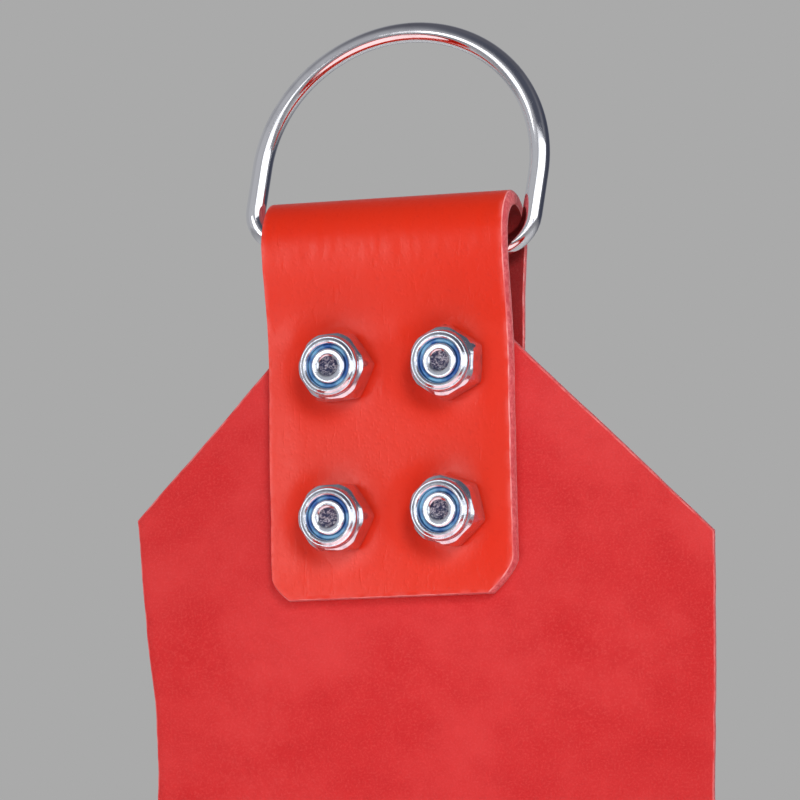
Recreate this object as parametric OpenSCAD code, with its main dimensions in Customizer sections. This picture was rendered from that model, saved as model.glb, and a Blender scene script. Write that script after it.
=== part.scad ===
// Heavy punching bag: a filled leather cylinder that hangs from four leather lugs.
// Each lug ends in a strap folded round a steel D-ring and clamped by four bolts with lock nuts.
// The origin is the centre of the bottom face, +Z is up, and sizes are millimetres and degrees.

/* [Bag] */
// Outside diameter of the leather shell
bag_d = 350; // [330:1:420]
// Height of the shell from the floor to its rim
bag_h = 900; // [700:10:1300]
// Thickness of the shell leather
shell_t = 3.5; // [2.5:0.5:5]
// Height of the overlap seam that joins the two shell panels
lap_z = 440; // [300:10:500]
// Depth of the top cover below the rim
cover_drop = 34; // [25:1:50]

/* [Hanging lugs] */
// Width of the folded strap
strap_w = 50; // [40:1:50]
// Length of the folded strap, from the top of its fold to its ends
strap_l = 80; // [76:1:90]
// Thickness of the strap and lug leather
leather_t = 3; // [2.5:0.1:3.2]
// Outside radius of the round loop that holds the ring
loop_r = 9.2; // [9.2:0.1:10]
// Height of the top of the fold above the rim of the shell
fold_rise = 152; // [145:1:180]
// Width of the lug left of the strap's centre line, at its shoulder
lug_left_w = 53.6; // [48:0.2:58]
// Width of the lug right of the strap's centre line
lug_right_w = 63.6; // [50:0.2:68]
// Length of the lug foot that is sewn to the shell, below the rim
foot_l = 150; // [120:5:200]

/* [D-rings] */
// Wire diameter
wire_d = 4.2; // [3.5:0.1:4.4]
// Clear width inside the ring
ring_w = 53; // [53:1:60]
// Clear height inside the ring, above its straight bar
ring_h = 39.5; // [37:0.5:44]
// Lean of each ring in its loop: back, right, front and left
ring_lean = [7, -4, 3, -6]; // [-7:1:7]

/* [Fasteners] */
// Distance between bolts across the strap
bolt_dx = 23; // [23:1:27]
// Distance between bolts along the strap
bolt_dz = 30; // [26:1:32]
// Depth of the upper bolts below the top of the fold
bolt_drop = 34; // [34:1:38]
// Angle at which each nut stopped: upper left, upper right, lower left and lower right
nut_turn = [4, 27, 2, -17]; // [-30:1:30]
// Sideways drift of each hand-punched hole, in the same order
hole_off_x = [0.9, 0.5, 0.4, -0.1]; // [-0.6:0.1:0.9]
// Upward drift of each hand-punched hole, in the same order
hole_off_z = [-0.7, -0.3, -0.9, 0.3]; // [-0.9:0.1:0.3]

/* [Zip] */
// Length of the row of zip teeth
zip_l = 240; // [180:4:260]

/* [Hidden] */
SIDES = ["back", "right", "front", "left"];
HANGER = ["lug_foot", "lug", "strap", "bolts", "nuts", "nut_inserts", "d_ring"];

$fn = 96;
// Gap between neighbouring soft layers, and overlap between shapes of one solid
gap = 0.1;
eps = 0.01;

// Colours
grain_red = [0.80, 0.06, 0.03];
flesh_red = [0.62, 0.07, 0.08];
thread_red = [0.45, 0.03, 0.03];
steel = [0.75, 0.76, 0.78];
nylon_blue = [0.10, 0.35, 0.75];
canvas = [0.75, 0.70, 0.60];
charcoal = [0.20, 0.20, 0.22];
rag_grey = [0.45, 0.45, 0.48];

// Layers of the body, from the outside in
shell_r = bag_d / 2;
inner_r = shell_r - shell_t;
lap_h = 26;
lap_t = 3;
step_z = lap_z - lap_h / 2;
panel_r = inner_r - gap;
base_t = 4;
base_flange_h = 30;
band_t = 3;
band_h = 64;
foam_r = panel_r - lap_t - gap;
foam_t = 18;
liner_r = foam_r - foam_t - gap;
liner_t = 1;

// Top cover and zip
cover_z = bag_h - cover_drop;
cover_r = panel_r - band_t - gap;
cover_t = 3;
cover_flange_h = 30;
fill_top = cover_z - cover_flange_h - 15;
zip_gap = 9;
tape_w = 15;
tape_t = 0.8;
tooth_pitch = 4;
tooth_w = 3.4;
tooth_h = 2;
teeth_z = cover_z - cover_t;
slider_l = 16;
slider_w = zip_gap - 0.6;
slider_t = 1.2;
slider_z = teeth_z + tooth_h + 0.2;
slider_x = -zip_l / 2 + slider_l / 2 + 4;
ear_t = 1.6;
pull_pin_r = 1.2;
pull_z = slider_z + slider_t + 4.6;
pull_l = 34;
pull_w = 8;
pull_t = 2;

// Hanging lug; drops are measured down from the top of the fold
lug_y = shell_r + gap + leather_t / 2;
lug_waist = 3.6;
fold_z = bag_h + fold_rise;
hinge_z = bag_h + 20;
hinge_gap = 2;
clamp_half = 1.5 * leather_t;
neck_drop = 24;
grip_drop = 23.5;
left_shoulder_drop = 64;
right_shoulder_drop = 68.4;
left_edge_u = -lug_left_w + lug_waist;
flare_drop = 10;
corner_cut = 4;
ring_bend = 4.5;

// M8 fasteners
shank_r = 4;
hole_r = 4.3;
neck_w = 8;
neck_l = leather_t - 0.6;
head_r = 10.3;
head_h = 4.9;
thread_end_r = 2.9;
nut_af = 13;
nut_hex_h = 6.1;
nut_h = 8;
nut_bore_r = shank_r + 0.05;
collar_r = 5.9;
insert_r = 4.35;
insert_drop = 0.7;

thread_r = 0.6;

// Turns a child from the back of the bag to side i of SIDES
module at_side(i) {
    rotate([0, 0, -90 * i])
        children();
}

// Tube between two radii and two heights
module tube(outer_r, bore_r, z0, z1) {
    translate([0, 0, z0])
        difference() {
            cylinder(r = outer_r, h = z1 - z0);
            translate([0, 0, -1])
                cylinder(r = bore_r, h = z1 - z0 + 2);
        }
}

// Flat plate of thickness t that stands in the X-Z plane, centred on it
module upright(t) {
    rotate([90, 0, 0])
        linear_extrude(height = t, center = true)
            children();
}

// Points along an arc, from one angle to the other
function arc(centre, r, from, to, steps) =
    [for (i = [0 : steps]) let (a = from + (to - from) * i / steps) centre + r * [cos(a), sin(a)]];

// Angle round the bag that covers a flat width w of lug leather
function wrap_a(w) = w / lug_y * 180 / PI;

// ---- Body ----

// Lower shell panel, stepped inwards at its top so that the upper panel laps over it
module shell_lower() {
    lap_r = panel_r - lap_t;
    turn_in_z = step_z - 12;
    taper_h = 6;
    color(grain_red)
        rotate_extrude()
            polygon([
                [inner_r, 0],
                [shell_r, 0],
                [shell_r, step_z - gap],
                [panel_r, step_z - gap],
                [panel_r, step_z + lap_h],
                [lap_r, step_z + lap_h],
                [lap_r, turn_in_z],
                [inner_r, turn_in_z - taper_h]
            ]);
}

module shell_upper() {
    color(grain_red)
        tube(shell_r, inner_r, step_z, bag_h);
}

// Round bottom panel with an upturned flange inside the shell
module base_panel() {
    color(grain_red)
        rotate_extrude()
            polygon([
                [0, 0],
                [panel_r, 0],
                [panel_r, base_flange_h],
                [panel_r - base_t, base_flange_h],
                [panel_r - base_t, base_t],
                [0, base_t]
            ]);
}

// Reinforcing band inside the rim, behind the lug feet
module rim_band() {
    color(grain_red)
        tube(panel_r, panel_r - band_t, bag_h - band_h, bag_h);
}

module foam_layer() {
    end_gap = 6;
    color(charcoal)
        tube(foam_r, foam_r - foam_t, base_flange_h + end_gap, bag_h - band_h - end_gap);
}

// Canvas sack that holds the filling
module liner() {
    color(canvas)
        difference() {
            translate([0, 0, base_t + 1])
                cylinder(r = liner_r, h = fill_top + 4 - base_t);
            translate([0, 0, base_t + 1 + liner_t])
                cylinder(r = liner_r - liner_t, h = bag_h);
        }
}

module filling() {
    floor_z = base_t + 1 + liner_t + gap;
    color(rag_grey)
        translate([0, 0, floor_z])
            cylinder(r = liner_r - liner_t - gap, h = fill_top - floor_z);
}

// ---- Top cover and zip ----

// One half of the top cover: a half disc with a downturned flange, cut back for the zip
module cover_half() {
    flange_r = cover_r - cover_t;
    color(grain_red)
        intersection() {
            rotate_extrude()
                polygon([
                    [0, cover_z - cover_t],
                    [flange_r, cover_z - cover_t],
                    [flange_r, cover_z - cover_flange_h],
                    [cover_r, cover_z - cover_flange_h],
                    [cover_r, cover_z],
                    [0, cover_z]
                ]);
            translate([-bag_d, zip_gap / 2, 0])
                cube([2 * bag_d, bag_d, bag_h]);
        }
}

// Two woven tapes under the edges of the cover halves
module zip_tapes() {
    tape_l = zip_l + 20;
    color(charcoal)
        for (side = [0, 180])
            rotate([0, 0, side])
                translate([-tape_l / 2, 0.4, teeth_z - tape_t - gap])
                    cube([tape_l, tape_w, tape_t]);
}

// Interlocking teeth that stand alternately on the two tapes
module zip_teeth() {
    reach = 0.8;
    color(steel)
        for (i = [0 : zip_l / tooth_pitch - 1])
            translate([
                -zip_l / 2 + (i + 0.5) * tooth_pitch - tooth_w / 2,
                i % 2 == 0 ? -reach : reach - tooth_w,
                teeth_z
            ])
                cube([tooth_w, tooth_w, tooth_h]);
}

// Metal stops clamped beyond both ends of the teeth
module zip_stops() {
    stop = [4, 7, tooth_h + 0.5];
    color(steel)
        for (end = [-1, 1])
            translate([end * (zip_l / 2 + 1 + stop[0] / 2), 0, teeth_z + stop[2] / 2])
                cube(stop, center = true);
}

// Slider plate over the teeth, with two ears that carry the pull's pin
module zip_slider() {
    ear_w = 6;
    ear_h = pull_z + pull_pin_r + 1 - slider_z;
    color(steel)
        difference() {
            union() {
                translate([slider_x - slider_l / 2, -slider_w / 2, slider_z])
                    cube([slider_l, slider_w, slider_t]);
                for (side = [-1, 1])
                    translate([slider_x - ear_w / 2, side * (slider_w - ear_t) / 2 - ear_t / 2, slider_z])
                        cube([ear_w, ear_t, ear_h]);
            }
            translate([slider_x, 0, pull_z])
                rotate([90, 0, 0])
                    cylinder(r = pull_pin_r + 0.05, h = zip_gap, center = true);
        }
}

// Pull tab with its pin; it lies along the zip at rest
module zip_pull() {
    root_w = slider_w - 2 * ear_t - 0.6;
    root_l = 6;
    heel_l = 2;
    eye_r = 2.2;
    eye_x = pull_l - 7;
    color(steel)
        translate([slider_x, 0, pull_z])
            difference() {
                union() {
                    rotate([90, 0, 0])
                        cylinder(r = pull_pin_r, h = slider_w, center = true);
                    translate([-heel_l, -root_w / 2, -pull_t / 2])
                        cube([heel_l + root_l + eps, root_w, pull_t]);
                    translate([root_l, -pull_w / 2, -pull_t / 2])
                        cube([pull_l - root_l, pull_w, pull_t]);
                }
                translate([eye_x, 0, 0])
                    cylinder(r = eye_r, h = 2 * pull_t, center = true);
            }
}

// ---- Stitching: each row is one thread that lies just clear of the leather ----

// Thread round the bag at radius r and height z, through the angles from..to measured from the back
module thread_round(r, z, from, to) {
    color(thread_red)
        rotate([0, 0, 90 + from])
            rotate_extrude(angle = to - from)
                translate([r + thread_r + gap, z])
                    circle(r = thread_r, $fn = 24);
}

// Upright thread at radius r and angle a
module thread_up(r, a, z0, z1) {
    color(thread_red)
        rotate([0, 0, a])
            translate([0, r + thread_r + gap, z0])
                cylinder(r = thread_r, h = z1 - z0, $fn = 24);
}

module lap_stitching() {
    for (row = [6, 12])
        thread_round(shell_r, step_z + row, 0, 360);
}

// Two rows down the vertical seam of each shell panel, between the back and left lugs
module side_stitching() {
    seam_a = 45;
    for (row = [-3, 3], span = [[30, step_z - 10], [step_z + 22, bag_h - 20]])
        thread_up(shell_r, seam_a + row / shell_r * 180 / PI, span[0], span[1]);
}

module base_stitching() {
    thread_round(shell_r, 14, 0, 360);
}

// Row below the rim, between the lug feet
module rim_stitching() {
    for (i = [0 : 3])
        at_side(i)
            thread_round(shell_r, bag_h - 9, wrap_a(-left_edge_u) + 1.5, 90 - wrap_a(lug_right_w) - 1.5);
}

// Rows along both edges of the zip opening
module cover_stitching() {
    color(thread_red)
        for (side = [-1, 1])
            translate([0, side * (zip_gap / 2 + 5), cover_z + thread_r + gap])
                rotate([0, 90, 0])
                    cylinder(r = thread_r, h = zip_l, center = true, $fn = 24);
}

// Box of stitching on each lug foot, with one row across its middle
module foot_stitching() {
    inset = 7;
    r = shell_r + gap + leather_t;
    right_a = -wrap_a(lug_right_w - inset);
    left_a = wrap_a(-left_edge_u - inset);
    bottom = bag_h - foot_l + inset;
    top = bag_h - flare_drop - inset;
    middle = (bottom + top) / 2;
    clear = 2 * thread_r;
    for (i = [0 : 3])
        at_side(i) {
            for (z = [bottom, middle, top])
                thread_round(r, z, right_a, left_a);
            for (a = [right_a, left_a], half = [[bottom, middle], [middle, top]])
                thread_up(r, a, half[0] + clear, half[1] - clear);
        }
}

// ---- Hanging lug ----

// Point on the lug foot: u along the leather, flat 0 on the shell to 1 in one plane, out from its inner face
function foot_point(u, flat, out) =
    let (a = wrap_a(u), r = shell_r + gap + out, wrapped = r * [sin(a), cos(a)])
    wrapped + flat * ([u, r] - wrapped);

// Lug foot: a curved panel on the shell, which flattens above the rim
module lug_foot() {
    columns = 16;
    flare_rows = 6;
    rows = flare_rows + 1;
    flare_z = bag_h - flare_drop;
    top_z = hinge_z - hinge_gap;
    width = lug_right_w - left_edge_u;
    row_z = [bag_h - foot_l, for (j = [0 : flare_rows]) flare_z + (top_z - flare_z) * j / flare_rows];
    points = [for (out = [0, leather_t], z = row_z, i = [0 : columns])
        let (
            t = max(0, (z - flare_z) / (top_z - flare_z)),
            flat = t * t * (3 - 2 * t),
            point = foot_point(left_edge_u + width * i / columns, flat, out)
        )
        [point[0], point[1], z]];
    function at(out, j, i) = (out * (rows + 1) + j) * (columns + 1) + i;
    function quad(a, b, c, d) = [[a, b, c], [a, c, d]];
    faces = [
        for (j = [0 : rows - 1], i = [0 : columns - 1])
            each quad(at(0, j, i), at(0, j + 1, i), at(0, j + 1, i + 1), at(0, j, i + 1)),
        for (j = [0 : rows - 1], i = [0 : columns - 1])
            each quad(at(1, j, i), at(1, j, i + 1), at(1, j + 1, i + 1), at(1, j + 1, i)),
        for (i = [0 : columns - 1])
            each quad(at(0, 0, i), at(0, 0, i + 1), at(1, 0, i + 1), at(1, 0, i)),
        for (i = [0 : columns - 1])
            each quad(at(0, rows, i), at(1, rows, i), at(1, rows, i + 1), at(0, rows, i + 1)),
        for (j = [0 : rows - 1])
            each quad(at(0, j, 0), at(1, j, 0), at(1, j + 1, 0), at(0, j + 1, 0)),
        for (j = [0 : rows - 1])
            each quad(at(0, j, columns), at(0, j + 1, columns), at(1, j + 1, columns), at(1, j, columns))
    ];
    color(grain_red)
        polyhedron(points, faces, convexity = 4);
}

// Free part of the lug: flat, with sloping shoulders up to a neck inside the strap.
// Its left edge draws in below the shoulder: by waist_share of lug_waist at waist_drop, all of it at narrow_drop.
module lug() {
    left_slope = 0.93;
    waist_share = 0.3;
    waist_drop = 82;
    narrow_drop = 100;
    left_run = left_slope * (left_shoulder_drop - neck_drop);
    right_run = right_shoulder_drop - neck_drop;
    bottom = hinge_z + hinge_gap - fold_z;
    color(flesh_red)
        translate([0, lug_y, fold_z])
            difference() {
                upright(leather_t)
                    polygon([
                        [-lug_left_w + left_run, -neck_drop],
                        [lug_right_w - right_run, -neck_drop],
                        [lug_right_w, -right_shoulder_drop],
                        [lug_right_w, bottom],
                        [left_edge_u, bottom],
                        [left_edge_u, -narrow_drop],
                        [-lug_left_w + waist_share * lug_waist, -waist_drop],
                        [-lug_left_w, -left_shoulder_drop]
                    ]);
                bolt_holes();
            }
}

// Side outline of the strap, inset from its outer face: a round loop that narrows to two flat legs.
// right_waist stops one step short of the loop, whose arc starts where the waist would end.
function loop_outline(inset, foot_z) =
    let (
        half = clamp_half - inset,
        fall = grip_drop - loop_r,
        waist_r = (fall * fall + clamp_half * clamp_half - loop_r * loop_r) / (2 * (loop_r - clamp_half)),
        waist_x = clamp_half + waist_r,
        tilt = atan2(fall, waist_x),
        steps = 8,
        last_a = 180 - tilt * (steps - 1) / steps,
        right_waist = arc([waist_x, -grip_drop], waist_r + inset, 180, last_a, steps - 1)
    )
    concat(
        [[half, foot_z]],
        right_waist,
        arc([0, -loop_r], loop_r - inset, -tilt, 180 + tilt, 40),
        [for (i = [steps - 1 : -1 : 0]) [-right_waist[i][0], right_waist[i][1]]],
        [[-half, foot_z]]
    );

// Strap folded over the ring, with both legs clamped to the lug
module strap() {
    half_w = strap_w / 2;
    cut_w = half_w - corner_cut;
    cut_z = -strap_l + corner_cut;
    neck_gap = 0.3;
    neck_hole = [neck_w + neck_gap, 2 * (neck_l + neck_gap), neck_w + neck_gap];
    color(grain_red)
        translate([0, lug_y, fold_z])
            difference() {
                rotate([90, 0, 90])
                    linear_extrude(height = strap_w, center = true)
                        difference() {
                            polygon(loop_outline(0, -strap_l));
                            polygon(loop_outline(leather_t, -strap_l - 1));
                        }
                for (side = [-1, 1])
                    upright(4 * loop_r)
                        polygon([
                            [side * cut_w, -strap_l],
                            [side * half_w, cut_z],
                            [side * (half_w + 1), cut_z],
                            [side * (half_w + 1), -strap_l - 1],
                            [side * cut_w, -strap_l - 1]
                        ]);
                bolt_holes();
                for (i = [0 : 3])
                    at_bolt(i)
                        translate([0, clamp_half, 0])
                            cube(neck_hole, center = true);
            }
}

// Places a child on bolt i, below the fold: upper left, upper right, lower left, lower right
module at_bolt(i) {
    x = (i % 2 - 0.5) * bolt_dx + hole_off_x[i];
    drop = bolt_drop + floor(i / 2) * bolt_dz - hole_off_z[i];
    translate([x, 0, -drop])
        children();
}

module bolt_holes() {
    for (i = [0 : 3])
        at_bolt(i)
            rotate([90, 0, 0])
                cylinder(r = hole_r, h = 60, center = true);
}

// Round-head bolt with a square neck; its head is outside and its thread points inwards
module bolt() {
    dome_r = (head_r * head_r + head_h * head_h) / (2 * head_h);
    shank_l = 2 * clamp_half + nut_h - insert_drop;
    chamfer = shank_r - thread_end_r;
    translate([0, clamp_half, 0])
        rotate([90, 0, 0]) {
            intersection() {
                translate([0, 0, dome_r - head_h])
                    sphere(r = dome_r);
                translate([0, 0, -head_h - 1])
                    cylinder(r = head_r + 1, h = head_h + 1);
            }
            translate([-neck_w / 2, -neck_w / 2, -eps])
                cube([neck_w, neck_w, neck_l]);
            difference() {
                cylinder(r = shank_r, h = shank_l);
                translate([0, 0, shank_l - chamfer])
                    difference() {
                        cylinder(r = shank_r + 1, h = chamfer + 1);
                        cylinder(r1 = shank_r, r2 = thread_end_r, h = chamfer);
                    }
            }
        }
}

module bolts() {
    color(steel)
        translate([0, lug_y, fold_z])
            for (i = [0 : 3])
                at_bolt(i)
                    bolt();
}

// Hexagon lock nut, chamfered on both faces, with a collar for its nylon ring
module nut() {
    corner_r = nut_af / sqrt(3);
    flat_r = nut_af / 2;
    face_r = flat_r - 0.2;
    clear_r = corner_r + 0.2;
    seat_chamfer = 0.7;
    top_chamfer = 0.9;
    lip = 0.8;
    lip_step = 0.3;
    rotate([90, 0, 0])
        difference() {
            union() {
                intersection() {
                    cylinder(r = corner_r, h = nut_hex_h, $fn = 6);
                    rotate_extrude()
                        polygon([
                            [0, 0],
                            [face_r, 0],
                            [clear_r, seat_chamfer],
                            [clear_r, nut_hex_h - top_chamfer],
                            [face_r, nut_hex_h],
                            [0, nut_hex_h]
                        ]);
                }
                rotate_extrude()
                    polygon([
                        [0, 1],
                        [collar_r, 1],
                        [collar_r, nut_h - lip],
                        [collar_r - lip_step, nut_h - lip_step],
                        [collar_r - lip, nut_h],
                        [0, nut_h]
                    ]);
            }
            translate([0, 0, -1])
                cylinder(r = nut_bore_r, h = nut_h + 2);
            translate([0, 0, nut_hex_h - 0.6])
                cylinder(r = insert_r, h = nut_h);
        }
}

module nuts() {
    color(steel)
        translate([0, lug_y - clamp_half - gap / 2, fold_z])
            for (i = [0 : 3])
                at_bolt(i)
                    rotate([0, -nut_turn[i], 0])
                        nut();
}

// Nylon ring inside each nut's collar
module nut_inserts() {
    color(nylon_blue)
        translate([0, lug_y - clamp_half - gap / 2, fold_z])
            for (i = [0 : 3])
                at_bolt(i)
                    rotate([90, 0, 0])
                        tube(insert_r - 0.02, nut_bore_r, nut_hex_h - 0.58, nut_h - insert_drop);
}

// D-ring of round wire: a straight bar, two rounded corners, two legs and a half-round top
module d_ring(lean) {
    wire_r = wire_d / 2;
    half_w = ring_w / 2 + wire_r;
    arch_z = ring_h + wire_r - ring_w / 2;
    bar_half = half_w - ring_bend;
    color(steel)
        translate([0, lug_y, fold_z - loop_r])
            rotate([0, lean, 0]) {
                rotate([0, 90, 0])
                    cylinder(r = wire_r, h = 2 * bar_half, center = true);
                for (side = [0, 1])
                    mirror([side, 0, 0]) {
                        translate([bar_half, 0, ring_bend])
                            rotate([90, 0, 0])
                                rotate([0, 0, -90])
                                    rotate_extrude(angle = 90)
                                        translate([ring_bend, 0])
                                            circle(r = wire_r);
                        translate([half_w, 0, ring_bend])
                            cylinder(r = wire_r, h = arch_z - ring_bend);
                    }
                translate([0, 0, arch_z])
                    rotate([90, 0, 0])
                        rotate_extrude(angle = 180)
                            translate([half_w, 0])
                                circle(r = wire_r);
            }
}

shell_lower();
shell_upper();
base_panel();
rim_band();
foam_layer();
liner();
filling();
cover_half();  // cover_back
rotate([0, 0, 180]) cover_half();  // cover_front
zip_tapes();
zip_teeth();
zip_stops();
zip_slider();
zip_pull();
lap_stitching();
side_stitching();
base_stitching();
rim_stitching();
cover_stitching();
foot_stitching();
for (i = [0 : 3]) {
    side = SIDES[i];
    at_side(i) lug_foot();
    at_side(i) lug();
    at_side(i) strap();
    at_side(i) bolts();
    at_side(i) nuts();
    at_side(i) nut_inserts();
    at_side(i) d_ring(ring_lean[i]);
}
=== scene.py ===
"""Looks of the heavy punching bag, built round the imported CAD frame.

Shapes are worked out in millimetres, in the row frame, and add_mesh() turns them into metres.
The back hanger (+Y) is the one the camera looks at, from inside the ring of lugs. The other three hangers are
the same shapes turned about +Z.
"""

import math

import bmesh
import bpy
import numpy as np
from mathutils import Matrix, Vector, noise
from mathutils.kdtree import KDTree


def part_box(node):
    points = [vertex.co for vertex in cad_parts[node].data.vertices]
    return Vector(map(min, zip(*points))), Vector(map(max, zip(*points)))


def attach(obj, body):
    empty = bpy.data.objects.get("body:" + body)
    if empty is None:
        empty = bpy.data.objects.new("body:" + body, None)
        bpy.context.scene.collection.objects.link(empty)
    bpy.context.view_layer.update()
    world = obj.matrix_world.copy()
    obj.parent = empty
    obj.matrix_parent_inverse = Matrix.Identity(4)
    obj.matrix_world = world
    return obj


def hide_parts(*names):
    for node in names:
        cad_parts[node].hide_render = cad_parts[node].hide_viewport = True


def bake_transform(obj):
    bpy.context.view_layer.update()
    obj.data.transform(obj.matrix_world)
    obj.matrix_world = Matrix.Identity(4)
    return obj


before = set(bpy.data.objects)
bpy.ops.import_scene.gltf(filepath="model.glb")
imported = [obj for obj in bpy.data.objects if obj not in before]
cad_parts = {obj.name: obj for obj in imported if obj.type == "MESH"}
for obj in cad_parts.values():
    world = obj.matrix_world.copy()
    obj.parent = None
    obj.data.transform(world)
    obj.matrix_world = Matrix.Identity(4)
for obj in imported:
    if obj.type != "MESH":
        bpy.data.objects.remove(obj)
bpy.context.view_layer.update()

MM = 0.001
SIDES = ["back", "right", "front", "left"]


def box_mm(node):
    """Lowest and highest corner of a CAD node, in millimetres."""
    low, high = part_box(node)
    return np.array(low) / MM, np.array(high) / MM


# ---- Places and sizes taken from the frame ----
upper_low, upper_high = box_mm("shell_upper")
lug_low, lug_high = box_mm("lug_back")
foot_low, foot_high = box_mm("lug_foot_back")
strap_low, strap_high = box_mm("strap_back")

SHELL_R = upper_high[0]
RIM_Z = upper_high[2]
LAP_Z = upper_low[2]
UNDERLAP_Z = box_mm("shell_lower")[1][2]
COVER_R, COVER_Z = box_mm("cover_back")[1][1:]
LUG_Y = (lug_low[1] + lug_high[1]) / 2
LEATHER_T = lug_high[1] - lug_low[1]
HINGE_Z = (foot_high[2] + lug_low[2]) / 2
FOLD_Z = strap_high[2]
STRAP_W = strap_high[0] - strap_low[0]
STRAP_L = strap_high[2] - strap_low[2]
LOOP_R = (strap_high[1] - strap_low[1]) / 2
LUG_LEFT = -lug_low[0]
LUG_RIGHT = lug_high[0]

# ---- Sizes that the boxes don't give, in millimetres and degrees ----
# A drop is measured down from the top of the strap's fold.
SHELL_T = 3.5
SKIN_GAP = 0.1
CLAMP_HALF = 1.5 * LEATHER_T
GRIP_DROP = 23.5
INNER_GRIP_DROP = 30
NECK_DROP = 24
LEFT_SHOULDER_DROP = 64
RIGHT_SHOULDER_DROP = 68.4
FLARE_DROP = 10
STRAP_SKEW = [1.9, 0.2, -0.3, 0.1]
RING_RUB = 0.3

# The four bolts: upper left, upper right, lower left, lower right
BOLT_DX = 23
BOLT_DZ = 30
BOLT_DROP = 34
HOLE_OFF = [(0.75, 0.45), (0.2, 0.2), (0.2, 0.45), (-0.45, -0.6)]
BOLT_TILT = [6.5, 8, 6, 9.5]
NUT_TURN = [4, 27, 2, -17]
BOLT_PIVOT = 7.3
HEAD_R = 10.3
NUT_FLATS = 13
CORNER_R = 7.4
SHOULDER_R = 6.8

# The D-rings, with a lean and a skew for each side
RING_WIRE_R = 2.05
RING_HALF_W = 28.6
RING_ARCH_Z = 15.1
RING_BEND = 6.5
RING_LEAN = [7, -4, 3, -6]
RING_SKEW = [0.05, -0.02, 0.03, -0.03]

# Material slots of every leather piece
# The last slot, a pale line along each corner of a cut edge, is a painted highlight.
GRAIN_SIDE, FLESH_SIDE, CUT_EDGE, EDGE_HIGHLIGHT_LINE = range(4)


# ---- Mesh helpers ----

def add_mesh(name, points, faces, materials, face_slots=None, sharp_angle=40):
    """New object from points in millimetres, with its faces turned outwards."""
    mesh = bpy.data.meshes.new(name)
    mesh.from_pydata((np.asarray(points) * MM).tolist(), [], [list(map(int, face)) for face in faces])
    for material in materials:
        mesh.materials.append(material)
    if face_slots is not None:
        mesh.polygons.foreach_set("material_index", np.asarray(face_slots, dtype=np.int32))
    tidy = bmesh.new()
    tidy.from_mesh(mesh)
    bmesh.ops.recalc_face_normals(tidy, faces=tidy.faces)
    tidy.to_mesh(mesh)
    tidy.free()
    mesh.shade_smooth()
    mesh.set_sharp_from_angle(angle=math.radians(sharp_angle))
    piece = bpy.data.objects.new(name, mesh)
    bpy.context.scene.collection.objects.link(piece)
    return piece


def stand_in(piece, node, body="bag"):
    """The piece replaces a CAD node and rides on a body."""
    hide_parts(node)
    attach(piece, body)


def on_circle(radius, angle, height):
    """Points at a radius, an angle from +X and a height, as arrays that fit together."""
    x, y, z = np.broadcast_arrays(radius * np.cos(angle), radius * np.sin(angle), height)
    return np.stack([x, y, z], axis=-1)


def grid_faces(rows, columns, start=0, wrap=False):
    """Quads of a grid of points; wrap joins the last column to the first."""
    index = np.arange(rows * columns).reshape(rows, columns) + start
    if wrap:
        index = np.hstack([index, index[:, :1]])
    corners = [index[:-1, :-1], index[:-1, 1:], index[1:, 1:], index[1:, :-1]]
    return np.stack([corner.ravel() for corner in corners], axis=1)


def border(rows, columns):
    """Indices round the edge of a grid, in order."""
    index = np.arange(rows * columns).reshape(rows, columns)
    return np.concatenate([index[0, :-1], index[:-1, -1], index[-1, :0:-1], index[:0:-1, 0]])


def sheet(rows, columns, left, right, place, layers, left_share=1.0):
    """Closed sheet with shaped edges, as (points, faces, slots).

    rows are places v along the sheet, and left(v) and right(v) are its edges. layers run from the outer face
    to the inner one, each (height, side inset, end inset); the left edge takes left_share of the side inset.
    place(u, v, height) gives a point.
    """
    count = len(rows) * columns
    ring = border(len(rows), columns)
    share = np.linspace(0, 1, columns)
    span = rows[-1] - rows[0]
    grids = []
    for height, side_inset, end_inset in layers:
        low = left(rows) + side_inset * left_share
        high = right(rows) - side_inset
        v = rows[0] + end_inset + (rows - rows[0]) * (span - 2 * end_inset) / span
        u = low[:, None] + share * (high - low)[:, None]
        v = np.repeat(v[:, None], columns, axis=1)
        grids.append(place(u, v, np.full_like(u, height)).reshape(count, 3))
    points = [grids[0], grids[-1]]
    faces = [grid_faces(len(rows), columns), grid_faces(len(rows), columns, count)]
    slots = [np.full(len(faces[0]), GRAIN_SIDE), np.full(len(faces[1]), FLESH_SIDE)]
    loops = [ring]
    for i, grid in enumerate(grids[1:-1]):
        loops.append(2 * count + i * len(ring) + np.arange(len(ring)))
        points.append(grid[ring])
    loops.append(count + ring)
    for i in range(len(loops) - 1):
        a, b = loops[i], loops[i + 1]
        faces.append(np.stack([a, np.roll(a, -1), np.roll(b, -1), b], axis=1))
        # The strips at the corners next to both faces take the painted edge highlight.
        along_face = i == 0 or i == len(loops) - 2
        slots.append(np.full(len(ring), EDGE_HIGHLIGHT_LINE if along_face else CUT_EDGE))
    return np.vstack(points), np.vstack(faces), np.concatenate(slots)


def revolve(rings, steps, closed=False):
    """Solid of revolution about the axis h, as points (x, z, h) and faces.

    Each ring is (radius, height), and either may be a function of the angle. A solid that isn't closed onto
    its first ring ends in two caps.
    """
    angles = np.arange(steps) * 2 * math.pi / steps
    points = []
    for radius, height in rings:
        r = radius(angles) if callable(radius) else np.full(steps, float(radius))
        h = height(angles) if callable(height) else np.full(steps, float(height))
        points.append(np.stack([r * np.cos(angles), r * np.sin(angles), h], axis=1))
    if closed:
        points.append(points[0])
    faces = grid_faces(len(points), steps, wrap=True).tolist()
    points = np.vstack(points)
    if closed:
        last = len(points) - steps
        faces = [[i % last for i in face] for face in faces]
        points = points[:last]
    else:
        faces.append(list(range(steps)))
        faces.append(list(range(len(points) - steps, len(points))))
    return points, faces


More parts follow.
